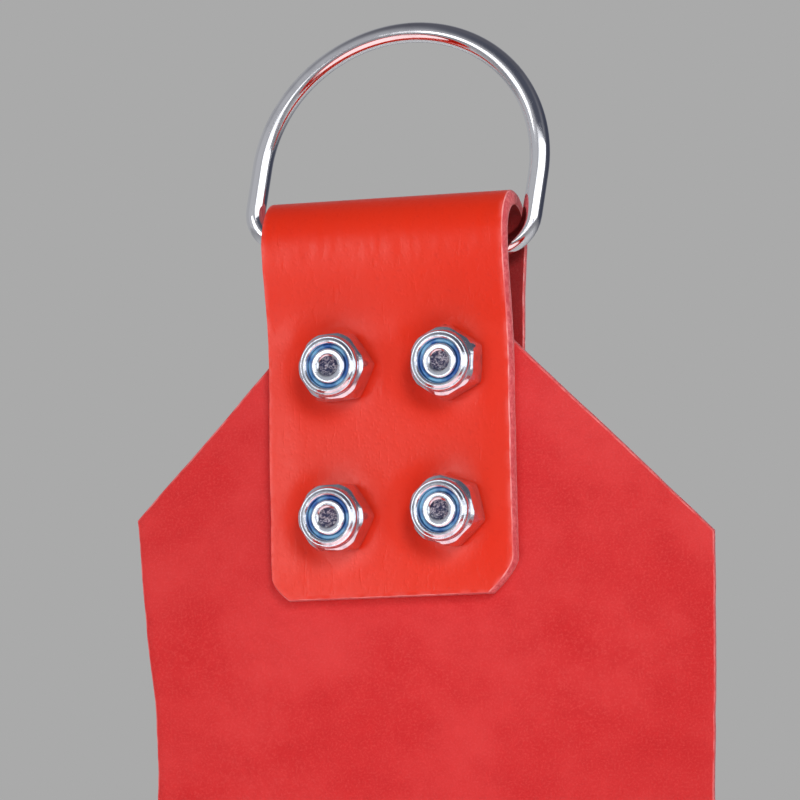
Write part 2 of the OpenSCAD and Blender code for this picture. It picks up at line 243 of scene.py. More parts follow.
def join(parts):
    """Joins (points, faces) pairs into one."""
    points, faces, start = [], [], 0
    for part_points, part_faces in parts:
        points.append(part_points)
        faces.extend([i + start for i in face] for face in part_faces)
        start += len(part_points)
    return np.vstack(points), faces


def sweep(path, across, radius, sides):
    """Closed tube round a path in the xz plane, with across as the direction off the path at each point."""
    turn = (np.arange(sides) * 2 * math.pi / sides)[None, :, None]
    sections = across[:, None, :] * np.cos(turn) + np.array([0, 1, 0]) * np.sin(turn)
    points = (path[:, None, :] + sections * radius[:, None, None]).reshape(-1, 3)
    return points, grid_faces(len(path) + 1, sides, wrap=True) % len(points)


def lumps(points, scale, seed=0):
    """Smooth noise of about -1 to 1 at points in millimetres, with features about scale long."""
    shift = Vector((seed * 17.3, seed * 5.1, seed * 9.7))
    return np.array([noise.noise(Vector(p) / scale + shift) for p in np.reshape(points, (-1, 3))])


def smooth(value, start, end):
    """0 before start, 1 after end, and a smooth step between them."""
    t = np.clip((value - start) / (end - start), 0, 1)
    return t * t * (3 - 2 * t)


def turned(points, side):
    """Points of the back hanger turned to another side of the bag."""
    angle = -math.pi / 2 * side
    x, y, z = points.T
    cos, sin = math.cos(angle), math.sin(angle)
    return np.stack([x * cos - y * sin, x * sin + y * cos, z], axis=1)


# ---- Materials ----

class Tree:
    """A node tree, with short calls for the nodes that the looks and the room share."""

    def __init__(self, tree):
        self.nodes = tree.nodes
        self.links = tree.links

    def feed(self, socket, value):
        """Links another node's socket to this one, or sets its value."""
        if isinstance(value, bpy.types.NodeSocket):
            self.links.new(value, socket)
        elif isinstance(value, tuple) and socket.type == "RGBA":
            socket.default_value = (*value, 1)
        else:
            socket.default_value = value

    def node(self, kind, inputs=None, **settings):
        """New node of a kind, with its inputs by name or number."""
        made = self.nodes.new(kind)
        for name, value in settings.items():
            setattr(made, name, value)
        for key, value in (inputs or {}).items():
            self.feed(made.inputs[key], value)
        return made

    def curve(self, value, low, high, to_low=0.0, to_high=1.0):
        """Maps low..high smoothly to to_low..to_high."""
        inputs = {"Value": value, "From Min": low, "From Max": high, "To Min": to_low, "To Max": to_high}
        return self.node("ShaderNodeMapRange", inputs, interpolation_type="SMOOTHSTEP").outputs["Result"]

    def math(self, operation, a, b):
        return self.node("ShaderNodeMath", {0: a, 1: b}, operation=operation).outputs[0]

    def mix(self, factor, a, b):
        """Colour a where factor is 0 and b where it is 1."""
        factor_in, a_in, b_in, colour_out = 0, 6, 7, 2
        inputs = {factor_in: factor, a_in: a, b_in: b}
        return self.node("ShaderNodeMix", inputs, data_type="RGBA").outputs[colour_out]


class Look(Tree):
    """A material, with patterns sized in millimetres."""

    def __init__(self, name, colour, roughness, metallic=0.0):
        self.material = bpy.data.materials.new(name)
        self.material.use_nodes = True
        super().__init__(self.material.node_tree)
        self.surface = self.nodes["Principled BSDF"]
        self.place = self.node("ShaderNodeTexCoord").outputs["Object"]
        self.height = None
        self.set({"Base Color": colour, "Roughness": roughness, "Metallic": metallic})

    def set(self, inputs):
        """Sets or links inputs of the surface by name."""
        for name, value in inputs.items():
            self.feed(self.surface.inputs[name], value)

    def stretched(self, stretch):
        """The place on the object, with patterns longer by a factor along each axis."""
        inputs = {0: self.place, 1: [1 / factor for factor in stretch]}
        return self.node("ShaderNodeVectorMath", inputs, operation="MULTIPLY").outputs[0]

    def noise(self, size_mm, detail=3, stretch=(1, 1, 1), rough=0.5, distort=0.0):
        """Noise with features about size_mm long."""
        inputs = {"Vector": self.stretched(stretch), "Scale": 1 / (size_mm * MM), "Detail": detail,
                  "Roughness": rough, "Distortion": distort}
        return self.node("ShaderNodeTexNoise", inputs).outputs["Fac"]

    def cells(self, size_mm, stretch=(1, 1, 1)):
        """Distance from the middle of pebbles about size_mm across."""
        inputs = {"Vector": self.stretched(stretch), "Scale": 1 / (size_mm * MM)}
        return self.node("ShaderNodeTexVoronoi", inputs).outputs["Distance"]

    def wave(self, size_mm, axis, distortion):
        """Bands about size_mm apart along an axis."""
        inputs = {"Vector": self.place, "Scale": 2 * math.pi / (20 * size_mm * MM), "Distortion": distortion}
        return self.node("ShaderNodeTexWave", inputs, bands_direction=axis).outputs["Fac"]

    def attribute(self, name):
        return self.node("ShaderNodeAttribute", attribute_name=name).outputs["Fac"]

    def relief(self, height, depth_mm, round_mm=0.0):
        """Adds a bump of a height 0..1 that is depth_mm deep; round_mm also rounds edges in the shading."""
        bump = self.node("ShaderNodeBump", {"Height": height, "Strength": 1.0, "Distance": depth_mm * MM})
        if self.height is not None:
            self.feed(bump.inputs["Normal"], self.height)
        elif round_mm:
            edge = self.node("ShaderNodeBevel", {"Radius": round_mm * MM}, samples=4)
            self.feed(bump.inputs["Normal"], edge.outputs[0])
        self.height = bump.outputs[0]
        self.set({"Normal": self.height})


def srgb(red, green, blue):
    """Linear colour from 8-bit sRGB values."""
    def linear(value):
        share = value / 255
        return share / 12.92 if share <= 0.04045 else ((share + 0.055) / 1.055) ** 2.4
    return linear(red), linear(green), linear(blue)


def grain_leather():
    """Smooth red top grain: fine pores, faint creases along the hide and a waxy shine."""
    look = Look("grain_leather", srgb(226, 50, 30), 0.4)
    cloud = look.curve(look.noise(60), 0.3, 0.75)
    fine = look.noise(0.9, 4)
    base = look.mix(cloud, srgb(231, 53, 25), srgb(228, 47, 22))
    base = look.mix(look.curve(fine, 0.55, 0.8, 0, 0.25), base, srgb(200, 30, 20))
    wear = look.curve(look.attribute("wear"), 0, 1)
    rubbed = look.math("MULTIPLY", wear, look.curve(look.noise(2.5), 0.35, 0.65, 0.15, 0.9))
    base = look.mix(rubbed, base, srgb(238, 92, 82))
    rough = look.math("ADD", look.curve(cloud, 0, 1, 0.33, 0.38), look.curve(fine, 0.3, 0.7, -0.03, 0.05))
    look.set({"Base Color": base, "Roughness": rough, "Specular IOR Level": 0.24})
    pores = look.curve(look.cells(0.75, stretch=(1, 1, 1.3)), 0, 0.55)
    creases = look.curve(look.noise(1.1, stretch=(1, 1, 6), distort=0.6), 0.58, 0.75, 1, 0)
    look.relief(pores, 0.014)
    look.relief(creases, 0.02)
    look.relief(look.noise(6), 0.1)
    return look.material


def flesh_leather(name="flesh_leather", shade=1.0):
    """Suede flesh side: cloudy red with short fibres; a shade below 1 darkens it towards near black, as
    painted shade.
    """
    look = Look(name, srgb(212, 52, 56), 0.9)
    cloud = look.noise(26, 5, rough=0.6)
    patch = look.noise(7, 4, stretch=(1.4, 1, 1))
    fibre = look.noise(0.45, 4, rough=0.7)
    base = look.mix(look.curve(cloud, 0.32, 0.68), srgb(215, 52, 54), srgb(228, 71, 71))
    base = look.mix(look.curve(patch, 0.4, 0.75, 0, 0.35), base, srgb(204, 44, 48))
    base = look.mix(look.curve(fibre, 0.45, 0.72, 0, 0.45), base, srgb(232, 92, 90))
    # Painted shade: the colour is pulled towards near black by 1 - shade.
    base = look.mix(1 - shade, base, srgb(40, 4, 6))
    look.set({"Base Color": base, "Specular IOR Level": 0.2})
    look.set({"Sheen Weight": 0.35, "Sheen Roughness": 0.5, "Sheen Tint": srgb(255, 170, 165)})
    look.relief(fibre, 0.16)
    look.relief(look.noise(2.2, 4), 0.22)
    return look.material


def cut_edge():
    """Cut edge of the leather: pale pink fibres in layers."""
    look = Look("cut_edge", srgb(226, 88, 92), 0.75)
    layers = look.noise(0.8, 4, rough=0.65)
    base = look.mix(look.curve(layers, 0.35, 0.7), srgb(205, 70, 76), srgb(236, 122, 124))
    base = look.mix(look.curve(look.noise(5), 0.45, 0.7, 0, 0.5), base, srgb(214, 76, 82))
    look.set({"Base Color": base, "Sheen Weight": 0.2})
    look.relief(layers, 0.2)
    return look.material


def painted_edge_highlight(name, colour, pale):
    """Pale line along the rounded corner of a cut edge: a painted highlight of the corner, patchy along its
    length.
    """
    look = Look(name, colour, 0.65)
    patch = look.curve(look.noise(3.5, 4), 0.35, 0.65)
    look.set({"Base Color": look.mix(patch, colour, pale)})
    look.relief(look.noise(0.7), 0.12)
    return look.material


def thread():
    """Waxed red thread, twisted."""
    look = Look("thread", srgb(150, 24, 22), 0.5)
    plies = look.noise(0.7, 2)
    look.set({"Base Color": look.mix(plies, srgb(118, 14, 14), srgb(176, 36, 30)), "Sheen Weight": 0.3})
    look.relief(plies, 0.2)
    return look.material


def chrome():
    """Chrome plate on drawn wire, with faint draw marks and rubbed patches."""
    look = Look("ring_chrome", (0.86, 0.87, 0.9), 0.07, 1.0)
    rub = look.noise(9, 4, rough=0.6)
    marks = look.noise(0.5, stretch=(1, 1, 14))
    base = look.mix(look.curve(rub, 0.5, 0.8), (0.88, 0.89, 0.92), (0.72, 0.73, 0.77))
    rough = look.math("ADD", look.curve(rub, 0.45, 0.75, 0.05, 0.2), look.curve(marks, 0.5, 0.8, 0, 0.06))
    look.set({"Base Color": base, "Roughness": rough})
    look.relief(marks, 0.002)
    look.relief(look.noise(7, 2), 0.04)
    return look.material


def zinc(name, round_mm):
    """Bright zinc plate, slightly blue, with tool marks and rounded edges."""
    look = Look(name, (0.78, 0.81, 0.86), 0.16, 0.96)
    patch = look.noise(2.2, 4, rough=0.6)
    base = look.mix(look.curve(patch, 0.45, 0.72), (0.8, 0.84, 0.92), (0.6, 0.65, 0.75))
    look.set({"Base Color": base, "Roughness": look.curve(patch, 0.35, 0.8, 0.1, 0.26)})
    look.relief(look.noise(0.4), 0.008, round_mm)
    look.relief(look.noise(1.8), 0.05)
    return look.material


def sheared_steel():
    """Rough, dark recess in the end of a bolt."""
    look = Look("sheared_steel", srgb(92, 98, 122), 0.5, 0.8)
    pits = look.noise(0.6, 4, rough=0.66, distort=1.2)
    base = look.mix(look.curve(pits, 0.47, 0.6), srgb(78, 86, 124), srgb(236, 240, 250))
    look.set({"Base Color": base, "Roughness": look.curve(pits, 0.3, 0.7, 0.3, 0.6)})
    look.relief(pits, 0.5)
    return look.material


def nylon():
    """Blue nylon, unevenly pale."""
    look = Look("nylon", srgb(44, 138, 205), 0.24)
    swirl = look.curve(look.noise(5, 2), 0.42, 0.58)
    look.set({"Base Color": look.mix(swirl, srgb(18, 92, 172), srgb(118, 186, 228)), "Coat Weight": 0.3})
    look.set({"Subsurface Weight": 0.15, "Subsurface Radius": (0.2, 0.5, 1.0), "Subsurface Scale": MM})
    look.relief(swirl, 0.08)
    return look.material


def woven(name, dark, pale, pitch_mm):
    """Plain weave of two thread sets, for canvas and tape."""
    look = Look(name, dark, 0.85)
    warp, weft = look.wave(pitch_mm, "X", 0.2), look.wave(pitch_mm, "Y", 0.2)
    rise = look.wave(pitch_mm * 1.2, "Z", 0.2)
    over = look.math("MAXIMUM", look.math("MULTIPLY", warp, weft), look.math("MULTIPLY", rise, weft))
    base = look.mix(look.math("MULTIPLY", over, look.noise(14, 4)), dark, pale)
    look.set({"Base Color": base, "Sheen Weight": 0.3})
    look.relief(over, 0.25)
    return look.material


def foam():
    """Dark foam with open cells."""
    look = Look("foam", srgb(60, 60, 64), 0.95)
    cell = look.cells(1.6)
    look.set({"Base Color": look.mix(look.curve(cell, 0.1, 0.6), srgb(40, 40, 44), srgb(82, 82, 88))})
    look.relief(cell, 0.6)
    return look.material


def rags():
    """Chopped textile in mixed greys and faded colours."""
    look = Look("rags", srgb(120, 120, 126), 0.95)
    piece = look.noise(30, 5, distort=1.5)
    base = look.mix(look.curve(piece, 0.35, 0.65), srgb(74, 80, 96), srgb(168, 160, 150))
    base = look.mix(look.curve(look.noise(18, distort=2), 0.55, 0.7), base, srgb(140, 66, 58))
    look.set({"Base Color": base, "Sheen Weight": 0.4})
    look.relief(look.noise(3, 5), 1.0)
    look.relief(look.wave(1.4, "DIAGONAL", 2.0), 0.3)
    return look.material


GRAIN, FLESH, CUT = grain_leather(), flesh_leather(), cut_edge()
# Pale lines along the corners of the cut edges are painted highlights; the lug's copy is dimmer.
EDGE_HIGHLIGHT = painted_edge_highlight("painted_edge_highlight", srgb(234, 104, 102), srgb(248, 166, 164))
LUG_RIM = painted_edge_highlight("lug_rim", srgb(222, 66, 66), srgb(240, 130, 128))
# Darker copy of the flesh leather: painted shade for the dim inside of the strap's fold.
FOLD_INSIDE_PAINTED_SHADE = flesh_leather("fold_inside_painted_shade", 0.45)
LEATHER = [GRAIN, FLESH, CUT, EDGE_HIGHLIGHT]
THREAD, CHROME, ZINC, ZIP_METAL = thread(), chrome(), zinc("zinc_steel", 0.18), zinc("zip_metal", 0.15)
SHEARED, NYLON = sheared_steel(), nylon()
CANVAS = woven("canvas", srgb(150, 140, 118), srgb(206, 198, 176), 1.2)
ZIP_TAPE = woven("zip_tape", srgb(28, 28, 32), srgb(74, 74, 80), 0.7)
FOAM, RAGS = foam(), rags()


# ---- Hanger: leather lug with its foot ----

def foot_point(u, flat, out, z):
    """Point on the lug, at u along the leather and out from its inner face.

    flat runs from 0, where the lug follows the round shell, to 1, where it is a plane.
    """
    r = SHELL_R + SKIN_GAP + out
    angle = u / LUG_Y
    x, y = r * np.sin(angle), r * np.cos(angle)
    return np.stack([x + flat * (u - x), y + flat * (r - y), z], axis=-1)


# The lug's hand-cut left edge: drops, and distances from the centre line
LEFT_EDGE_DROPS = [NECK_DROP, LEFT_SHOULDER_DROP, 82, 101, 115, FOLD_Z - foot_low[2]]
LEFT_EDGE = [16.8, LUG_LEFT + 0.5, 52.8, 50.9, 50.4, 50.6]


def edge_wobble(v, seed, depth=0.22):
    """Hand-cut unevenness of an edge along v."""
    at = np.stack([v, np.full_like(v, seed * 31.0), np.zeros_like(v)], axis=1)
    return depth * lumps(at, 11, seed) + 0.4 * depth * lumps(at, 2.6, seed + 3)


def lug_shape(seed):
    """The lug with its foot as one leather sheet; v runs down from the top of the fold."""
    bottom = LEFT_EDGE_DROPS[-1]
    foot_start = FOLD_Z - RIM_Z + FLARE_DROP + 4
    rows = np.unique(np.concatenate([
        np.arange(NECK_DROP, foot_start, 1.6),
        np.arange(foot_start, bottom, 4.0),
        [LEFT_SHOULDER_DROP, RIGHT_SHOULDER_DROP, bottom],
    ]))

    def left(v):
        return -np.interp(v, LEFT_EDGE_DROPS, LEFT_EDGE) + edge_wobble(v, seed)

    def right(v):
        shoulder = LUG_RIGHT - RIGHT_SHOULDER_DROP + v
        edge = LUG_RIGHT - 2.0 * smooth(v, RIGHT_SHOULDER_DROP - 4, FOLD_Z - RIM_Z)
        return np.minimum(edge, shoulder) + edge_wobble(v, seed + 1)

    def place(u, v, height):
        z = FOLD_Z - v
        flat = smooth(z, RIM_Z - FLARE_DROP, HINGE_Z)
        free = smooth(z, HINGE_Z, HINGE_Z + 30) * smooth(v, NECK_DROP + STRAP_L - 24, STRAP_L + 16)
        at = np.stack([u, np.full_like(u, seed * 50.0), z], axis=-1)
        warp = 0.9 * lumps(at, 60, seed).reshape(u.shape) * free
        return foot_point(u, flat, height + LEATHER_T / 2 + warp, z)

    half = LEATHER_T / 2
    layers = [(half, 0.45, 0.45), (half - 0.15, 0.15, 0.15), (half - 0.6, 0, 0), (0, -0.05, -0.05),
              (0.5 - half, 0, 0), (0.12 - half, 0.12, 0.12), (-half, 0.35, 0.35)]
    return sheet(rows, 72, left, right, place, layers)


def add_wear(piece, reach_mm):
    """Vertex attribute that fades from 1 at the cut edges to 0 at reach_mm into the faces."""
    mesh = piece.data
    count = len(mesh.vertices)
    spots = np.zeros(count * 3, dtype=np.float32)
    mesh.vertices.foreach_get("co", spots)
    spots = spots.reshape(count, 3)
    edge = np.zeros(count, dtype=bool)
    for face in mesh.polygons:
        if face.material_index == EDGE_HIGHLIGHT_LINE:
            edge[list(face.vertices)] = True
    tree = KDTree(int(edge.sum()))
    for i in np.nonzero(edge)[0]:
        tree.insert(spots[i], int(i))
    tree.balance()
    wear = [max(0.0, 1 - tree.find(spot)[2] / (reach_mm * MM)) for spot in spots]
    mesh.attributes.new("wear", "FLOAT", "POINT").data.foreach_set("value", wear)


def build_lug(side):
    name = SIDES[side]
    points, faces, slots = lug_shape(side + 1)
    leather = [GRAIN, FLESH, CUT, LUG_RIM]
    piece = add_mesh(f"lug_{name}_leather", turned(points, side), faces, leather, slots)
    add_wear(piece, 2.0)
    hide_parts(f"lug_{name}", f"lug_foot_{name}")
    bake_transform(piece)


# ---- Hanger: folded strap ----

def strap_leg(grip):
    """Half of the strap's middle line, from the foot of a leg to the top of the fold.

    Columns are y, z and the normal's y and z. The leg leaves the round fold upright and eases in to the lug
    at the drop called grip.
    """
    half = LEATHER_T / 2
    loop_r = LOOP_R - half
    leg_y = CLAMP_HALF - half
    z = np.concatenate([np.linspace(-STRAP_L, -grip, 20)[:-1], np.linspace(-grip, -LOOP_R, 24)[:-1]])
    y = loop_r - (loop_r - leg_y) * smooth(-z, LOOP_R, grip)
    turn = np.linspace(0, math.pi / 2, 24)
    y = np.concatenate([y, loop_r * np.cos(turn)])
    z = np.concatenate([z, loop_r * np.sin(turn) - LOOP_R])
    slope_y, slope_z = np.gradient(y), np.gradient(z)
    length = np.hypot(slope_y, slope_z)
    return np.stack([y, z, slope_z / length, -slope_y / length], axis=1)


def strap_path():
    """Middle line of the strap from the foot of its inner leg, over the ring, to the foot of its outer leg.

    Columns are the distance along it, y and z from the fold's top on the lug's plane, and the outward normal.
    """
    inner = strap_leg(INNER_GRIP_DROP) * np.array([-1, 1, -1, 1])
    outer = strap_leg(GRIP_DROP)[-2::-1]
    path = np.vstack([inner, outer])
    steps = np.hypot(*np.diff(path[:, :2], axis=0).T)
    return np.hstack([np.concatenate([[0], np.cumsum(steps)])[:, None], path])


def bolt_spots():
    """Places (x, drop below the fold) of the bolts: upper left, upper right, lower left, lower right."""
    return [((i % 2 - 0.5) * BOLT_DX + HOLE_OFF[i][0], BOLT_DROP + i // 2 * BOLT_DZ + HOLE_OFF[i][1])
            for i in range(4)]


def bolt_marks(u, z, inner):
    """Marks of the tilted nuts and heads in the strap: (how near a point is to one, lift of its seat)."""
    dent, seat = np.zeros_like(u), np.zeros_like(u)
    for (x, drop), tilt in zip(bolt_spots(), np.radians(BOLT_TILT)):
        x = x + np.sin(tilt) * np.where(inner, BOLT_PIVOT, BOLT_PIVOT + 2 * CLAMP_HALF)
        past_rim = np.hypot(u - x, z + drop) - np.where(inner, NUT_FLATS / 2, HEAD_R)
        near = np.exp(-(np.maximum(past_rim, 0) / 3.4) ** 2)
        dent = np.maximum(dent, near)
        seat = seat + np.where(inner, 0.9, -0.9) * np.tan(tilt) * (u - x) * near
    return dent, seat


def strap_shape(side):
    """The folded strap as one leather sheet; v runs along it from the inner leg's foot to the outer one's."""
    path = strap_path()
    seed = side + 1
    length = path[-1, 0]
    rows = np.linspace(0, length, 210)
    half_w = STRAP_W / 2

    def corner(v, depth, reach):
        """How far a clipped corner cuts in at v."""
        from_end = np.minimum(v, length - v)
        return depth * np.clip(1 - from_end / reach, 0, 1) ** 1.6

    def rubbed(v):
        """Slight narrowing of the outer leg where the ring swings past it."""
        return RING_RUB * np.exp(-((v / length - 0.61) / 0.06) ** 2)

    def left(v):
        return -half_w + corner(v, 3.4, 4.2) + edge_wobble(v, seed + 5, 0.16) + rubbed(v)

    def right(v):
        return half_w - corner(v, 5.0, 7) + edge_wobble(v, seed + 6, 0.16) - rubbed(v)

    def place(u, v, height):
        from_end = np.minimum(v, length - v)
        slant = (0.55 - 0.024 * u) * (1 - smooth(from_end, 0, 14))
        y, z, ny, nz = (np.interp(v, path[:, 0], path[:, i]) for i in (1, 2, 3, 4))
        rise = (0.35 + 0.012 * u) * smooth(z, -22, -6)
        z = z - slant + rise
        v_share = v / length
        u = u + STRAP_SKEW[side] * smooth(v_share, 0.42, 0.58) * (1 - 0.55 * smooth(v_share, 0.62, 0.85))
        scale = 1 / np.hypot(ny, nz)
        ny, nz = ny * scale, nz * scale
        dent, seat = bolt_marks(u, z, inner=v < length / 2)
        clamped = smooth(-z, GRIP_DROP - 8, GRIP_DROP + 6)
        edge = smooth(half_w - np.abs(u), 0, 7)
        puff = 0.42 * (1 - dent) * clamped * (0.25 + 0.75 * edge) * smooth(STRAP_L + z, 0, 10)
        at = np.stack([u, v, np.full_like(u, seed * 40.0)], axis=-1)
        wave = 0.35 * lumps(at, 26, seed + 2).reshape(u.shape)
        crease = 0.13 * lumps(at * np.array([1, 0.22, 1]), 1.3, seed + 8).reshape(u.shape)
        crease = crease * smooth(-z, 2, 6) * (1 - smooth(-z, 9, 15))
        lift = height + (0.5 + height / LEATHER_T) * (puff + seat + wave * smooth(-z, 0, 14) + crease)
        return np.stack([u, LUG_Y + y + ny * lift, FOLD_Z + z + nz * lift], axis=-1)

    half = LEATHER_T / 2
    layers = [(half, 0.95, 0.4), (half - 0.12, 0.7, 0.25), (half - 0.55, 0.3, 0.1), (half - 1.1, 0.08, 0.02),
              (-0.1, -0.02, 0), (0.5 - half, 0, 0), (0.12 - half, 0.12, 0.1), (-half, 0.35, 0.3)]
    return sheet(rows, 74, left, right, place, layers, left_share=0.15)


def build_strap(side):
    name = SIDES[side]
    points, faces, slots = strap_shape(side)
    # The strap's flesh side uses the darker copy, painted shade for the inside of its fold.
    leather = [GRAIN, FOLD_INSIDE_PAINTED_SHADE, CUT, EDGE_HIGHLIGHT]
    piece = add_mesh(f"strap_{name}_leather", turned(points, side), faces, leather, slots)
    add_wear(piece, 1.0)
    stand_in(piece, f"strap_{name}", f"hanger_{name}")


# ---- Hanger: bolts, nuts and nylon rings ----

NUT_SEAT = CLAMP_HALF + 0.05
HEAD_SEAT = -CLAMP_HALF - NUT_SEAT
THREAD_PITCH = 1.25


def on_bolts(shape):
    """Copies a shape to the four bolts, each tilted in the soft leather.

    The shape's points are (x, z, h), with h from the nut's seat towards the bag's axis.
    """
    parts = []
    for i, (x, drop) in enumerate(bolt_spots()):
        points, faces = shape(i)
        tilt = math.radians(BOLT_TILT[i])
        across, out = points[:, 0], points[:, 2] - BOLT_PIVOT
        spot = np.stack([
            x + across * math.cos(tilt) - out * math.sin(tilt),
            LUG_Y - NUT_SEAT - BOLT_PIVOT - across * math.sin(tilt) - out * math.cos(tilt),
            FOLD_Z - drop + points[:, 1],
        ], axis=1)
        parts.append((spot, faces))
    return join(parts)


def nut_shape(i):
    """Lock nut: chamfered hexagon, neck and rolled collar."""
    turn = math.radians(NUT_TURN[i])
    flat_r = NUT_FLATS / 2

    def hexagon(angle):
        from_flat = (angle - turn) % (math.pi / 3) - math.pi / 6
        return np.minimum(flat_r / np.cos(from_flat), CORNER_R)

    def shoulder(angle):
        return np.minimum(hexagon(angle), SHOULDER_R)

    def lower(angle):
        return (hexagon(angle) - flat_r + 0.2) * 0.5

    def middle(angle):
        return 5.75 - (hexagon(angle) - flat_r) * 1.6

    def upper(angle):
        return 6.05 - (shoulder(angle) - flat_r + 0.2) * 0.5

    foot = [(4.06, 0.5), (4.5, 0), (flat_r - 0.25, 0)]
    sides = [(hexagon, lower), (hexagon, middle), (shoulder, upper)]
    collar = [(flat_r - 0.2, 6.1), (6.16, 6.16), (6.05, 6.3), (6.02, 6.6), (6.02, 7.2), (5.97, 7.5),
              (5.86, 7.68), (5.7, 7.76), (5.54, 7.75)]
    lip = [(5.42, 7.8), (5.26, 7.92), (5.0, 8.0), (4.72, 7.96), (4.5, 7.8)]
    groove = [(4.4, 7.5), (4.36, 7.1), (4.36, 6.2), (4.06, 5.6)]
    return revolve(foot + sides + collar + lip + groove, 144, closed=True)


def insert_shape(_):
    """Nylon ring with a rounded top."""
    rings = [(3.5, 5.9), (4.32, 5.9), (4.34, 6.9), (4.26, 7.12), (4.1, 7.22), (3.84, 7.2), (3.64, 7.08),
             (3.54, 6.8)]
    return revolve(rings, 48, closed=True)


def bolt_shape(_):
    """Round head, square neck, thread and a chamfered end; the recess in the end is a piece of its own."""
    head_h = 4.9
    dome_r = (HEAD_R ** 2 + head_h ** 2) / (2 * head_h)
    dome = [(dome_r * math.sin(a), HEAD_SEAT - dome_r * math.cos(a) + dome_r - head_h)
            for a in np.linspace(0.02, math.asin(HEAD_R / dome_r) * 0.985, 14)]

    def neck(angle):
        return 3.96 / np.maximum(np.abs(np.cos(angle)), np.abs(np.sin(angle))) ** 0.9

    def thread_ring(h):
        def radius(angle):
            share = (h / THREAD_PITCH - angle / (2 * math.pi)) % 1
            return 3.45 + 0.5 * (1 - np.abs(2 * share - 1))
        return radius, h

    rings = dome + [(HEAD_R - 0.15, HEAD_SEAT - 0.25), (HEAD_R - 0.35, HEAD_SEAT), (5.6, HEAD_SEAT)]
    rings += [(neck, HEAD_SEAT + 0.02), (neck, HEAD_SEAT + 2.4)]
    rings += [thread_ring(h) for h in np.arange(HEAD_SEAT + 2.6, 5.7, 0.42)]
    rings += [(3.46, 5.8), (3.46, 7.44), (3.42, 7.55), (3.34, 7.62), (3.16, 7.66), (2.9, 7.64), (2.5, 7.6),
              (2.15, 7.53), (1.96, 7.4), (1.9, 6.9)]
    return revolve(rings, 64)


def recess_shape(i):
    """Sheared, slightly oval end of the bolt."""
    def ragged(scale):
        def radius(angle):
            at = np.stack([np.cos(angle) * 2 + i * 7.0, np.sin(angle) * 2, np.full_like(angle, 3.0)], axis=1)
            return scale * (1 + 0.09 * np.cos(2 * (angle - 0.9)) + 0.14 * lumps(at, 1.1, i))
        return radius

    rings = [(1.86, 6.9), (1.88, 7.3), (ragged(1.84), 7.44), (ragged(1.7), 7.34), (ragged(1.5), 7.16),
             (ragged(0.95), 7.1), (0.3, 7.14)]
    return revolve(rings, 48)


def build_fasteners(side):
    name = SIDES[side]
    for shape, label, node, material, slot, sharp in (
        (nut_shape, "lock_nuts", "nuts", ZINC, "zinc_steel", 24),
        (insert_shape, "nylon_rings", "nut_inserts", NYLON, "nylon", 50),
        (bolt_shape, "round_bolts", "bolts", ZINC, "zinc_steel", 40),
        (recess_shape, "bolt_ends", "bolts", SHEARED, "zinc_steel", 50),
    ):
        points, faces = on_bolts(shape)
        piece = add_mesh(f"{label}_{name}", turned(points, side), faces, [material], sharp_angle=sharp)
        stand_in(piece, f"{node}_{name}", f"hanger_{name}")


# ---- Hanger: D-ring ----

def arc(x, z, radius, start, end, steps):
    """Points on an arc round (x, z), without the last one, as (x, z, direction x, direction z)."""
    angle = np.linspace(start, end, steps)[:-1]
    cos, sin = np.cos(angle), np.sin(angle)
    return np.stack([x + radius * cos, z + radius * sin, cos, sin], axis=1)


def straight(start, end, across, steps):
    """Points on a line, without the last one, as (x, z, direction x, direction z)."""
    points = np.linspace(start, end, steps)[:-1]
    return np.hstack([points, np.tile(across, (steps - 1, 1))])


def ring_path():
    """Closed middle line of the ring in its own plane, as (x, z) and the direction out of the ring."""
    bar, quarter = RING_HALF_W - RING_BEND, math.pi / 2
    return np.vstack([
        straight((-bar, 0), (bar, 0), (0, -1), 44),
        arc(bar, RING_BEND, RING_BEND, -quarter, 0, 10),
        straight((RING_HALF_W, RING_BEND), (RING_HALF_W, RING_ARCH_Z), (1, 0), 9),
        arc(0, RING_ARCH_Z, RING_HALF_W, 0, math.pi, 72),
        straight((-RING_HALF_W, RING_ARCH_Z), (-RING_HALF_W, RING_BEND), (-1, 0), 9),
        arc(-bar, RING_BEND, RING_BEND, math.pi, 3 * quarter, 10),
    ])


def build_ring(side):
    name = SIDES[side]
    path = np.insert(ring_path(), (1, 3), 0, axis=1)
    middle, across = path[:, :3], path[:, 3:]
    weld = 0.22 * np.exp(-(middle[:, 0] / 1.6) ** 2) * (middle[:, 2] < 1)
    wire = RING_WIRE_R * (1 + 0.012 * lumps(middle, 9, side)) + weld
    points, faces = sweep(middle, across, wire, 28)
    lean, skew = math.radians(RING_LEAN[side]), RING_SKEW[side]
    x = points[:, 0] + skew * (points[:, 2] - RING_ARCH_Z)
    z = points[:, 2] + skew * points[:, 0]
    points = np.stack([
        x * math.cos(lean) + z * math.sin(lean),
        LUG_Y + points[:, 1],
        FOLD_Z - LOOP_R - x * math.sin(lean) + z * math.cos(lean),
    ], axis=1)
    piece = add_mesh(f"d_ring_{name}_wire", turned(points, side), faces, [CHROME])
    stand_in(piece, f"d_ring_{name}", f"ring_{name}")


for side_index in range(len(SIDES)):
    build_lug(side_index)
    build_strap(side_index)
    build_fasteners(side_index)
    build_ring(side_index)


# ---- Shell: leather skin over the filling ----

SEAM_ANGLE = 45
SIM_COLUMNS = 120
SIM_ROWS = 91
SIM_FRAMES = 22
LAP_HOLD = 14
FREE_TOP = foot_low[2] - 8


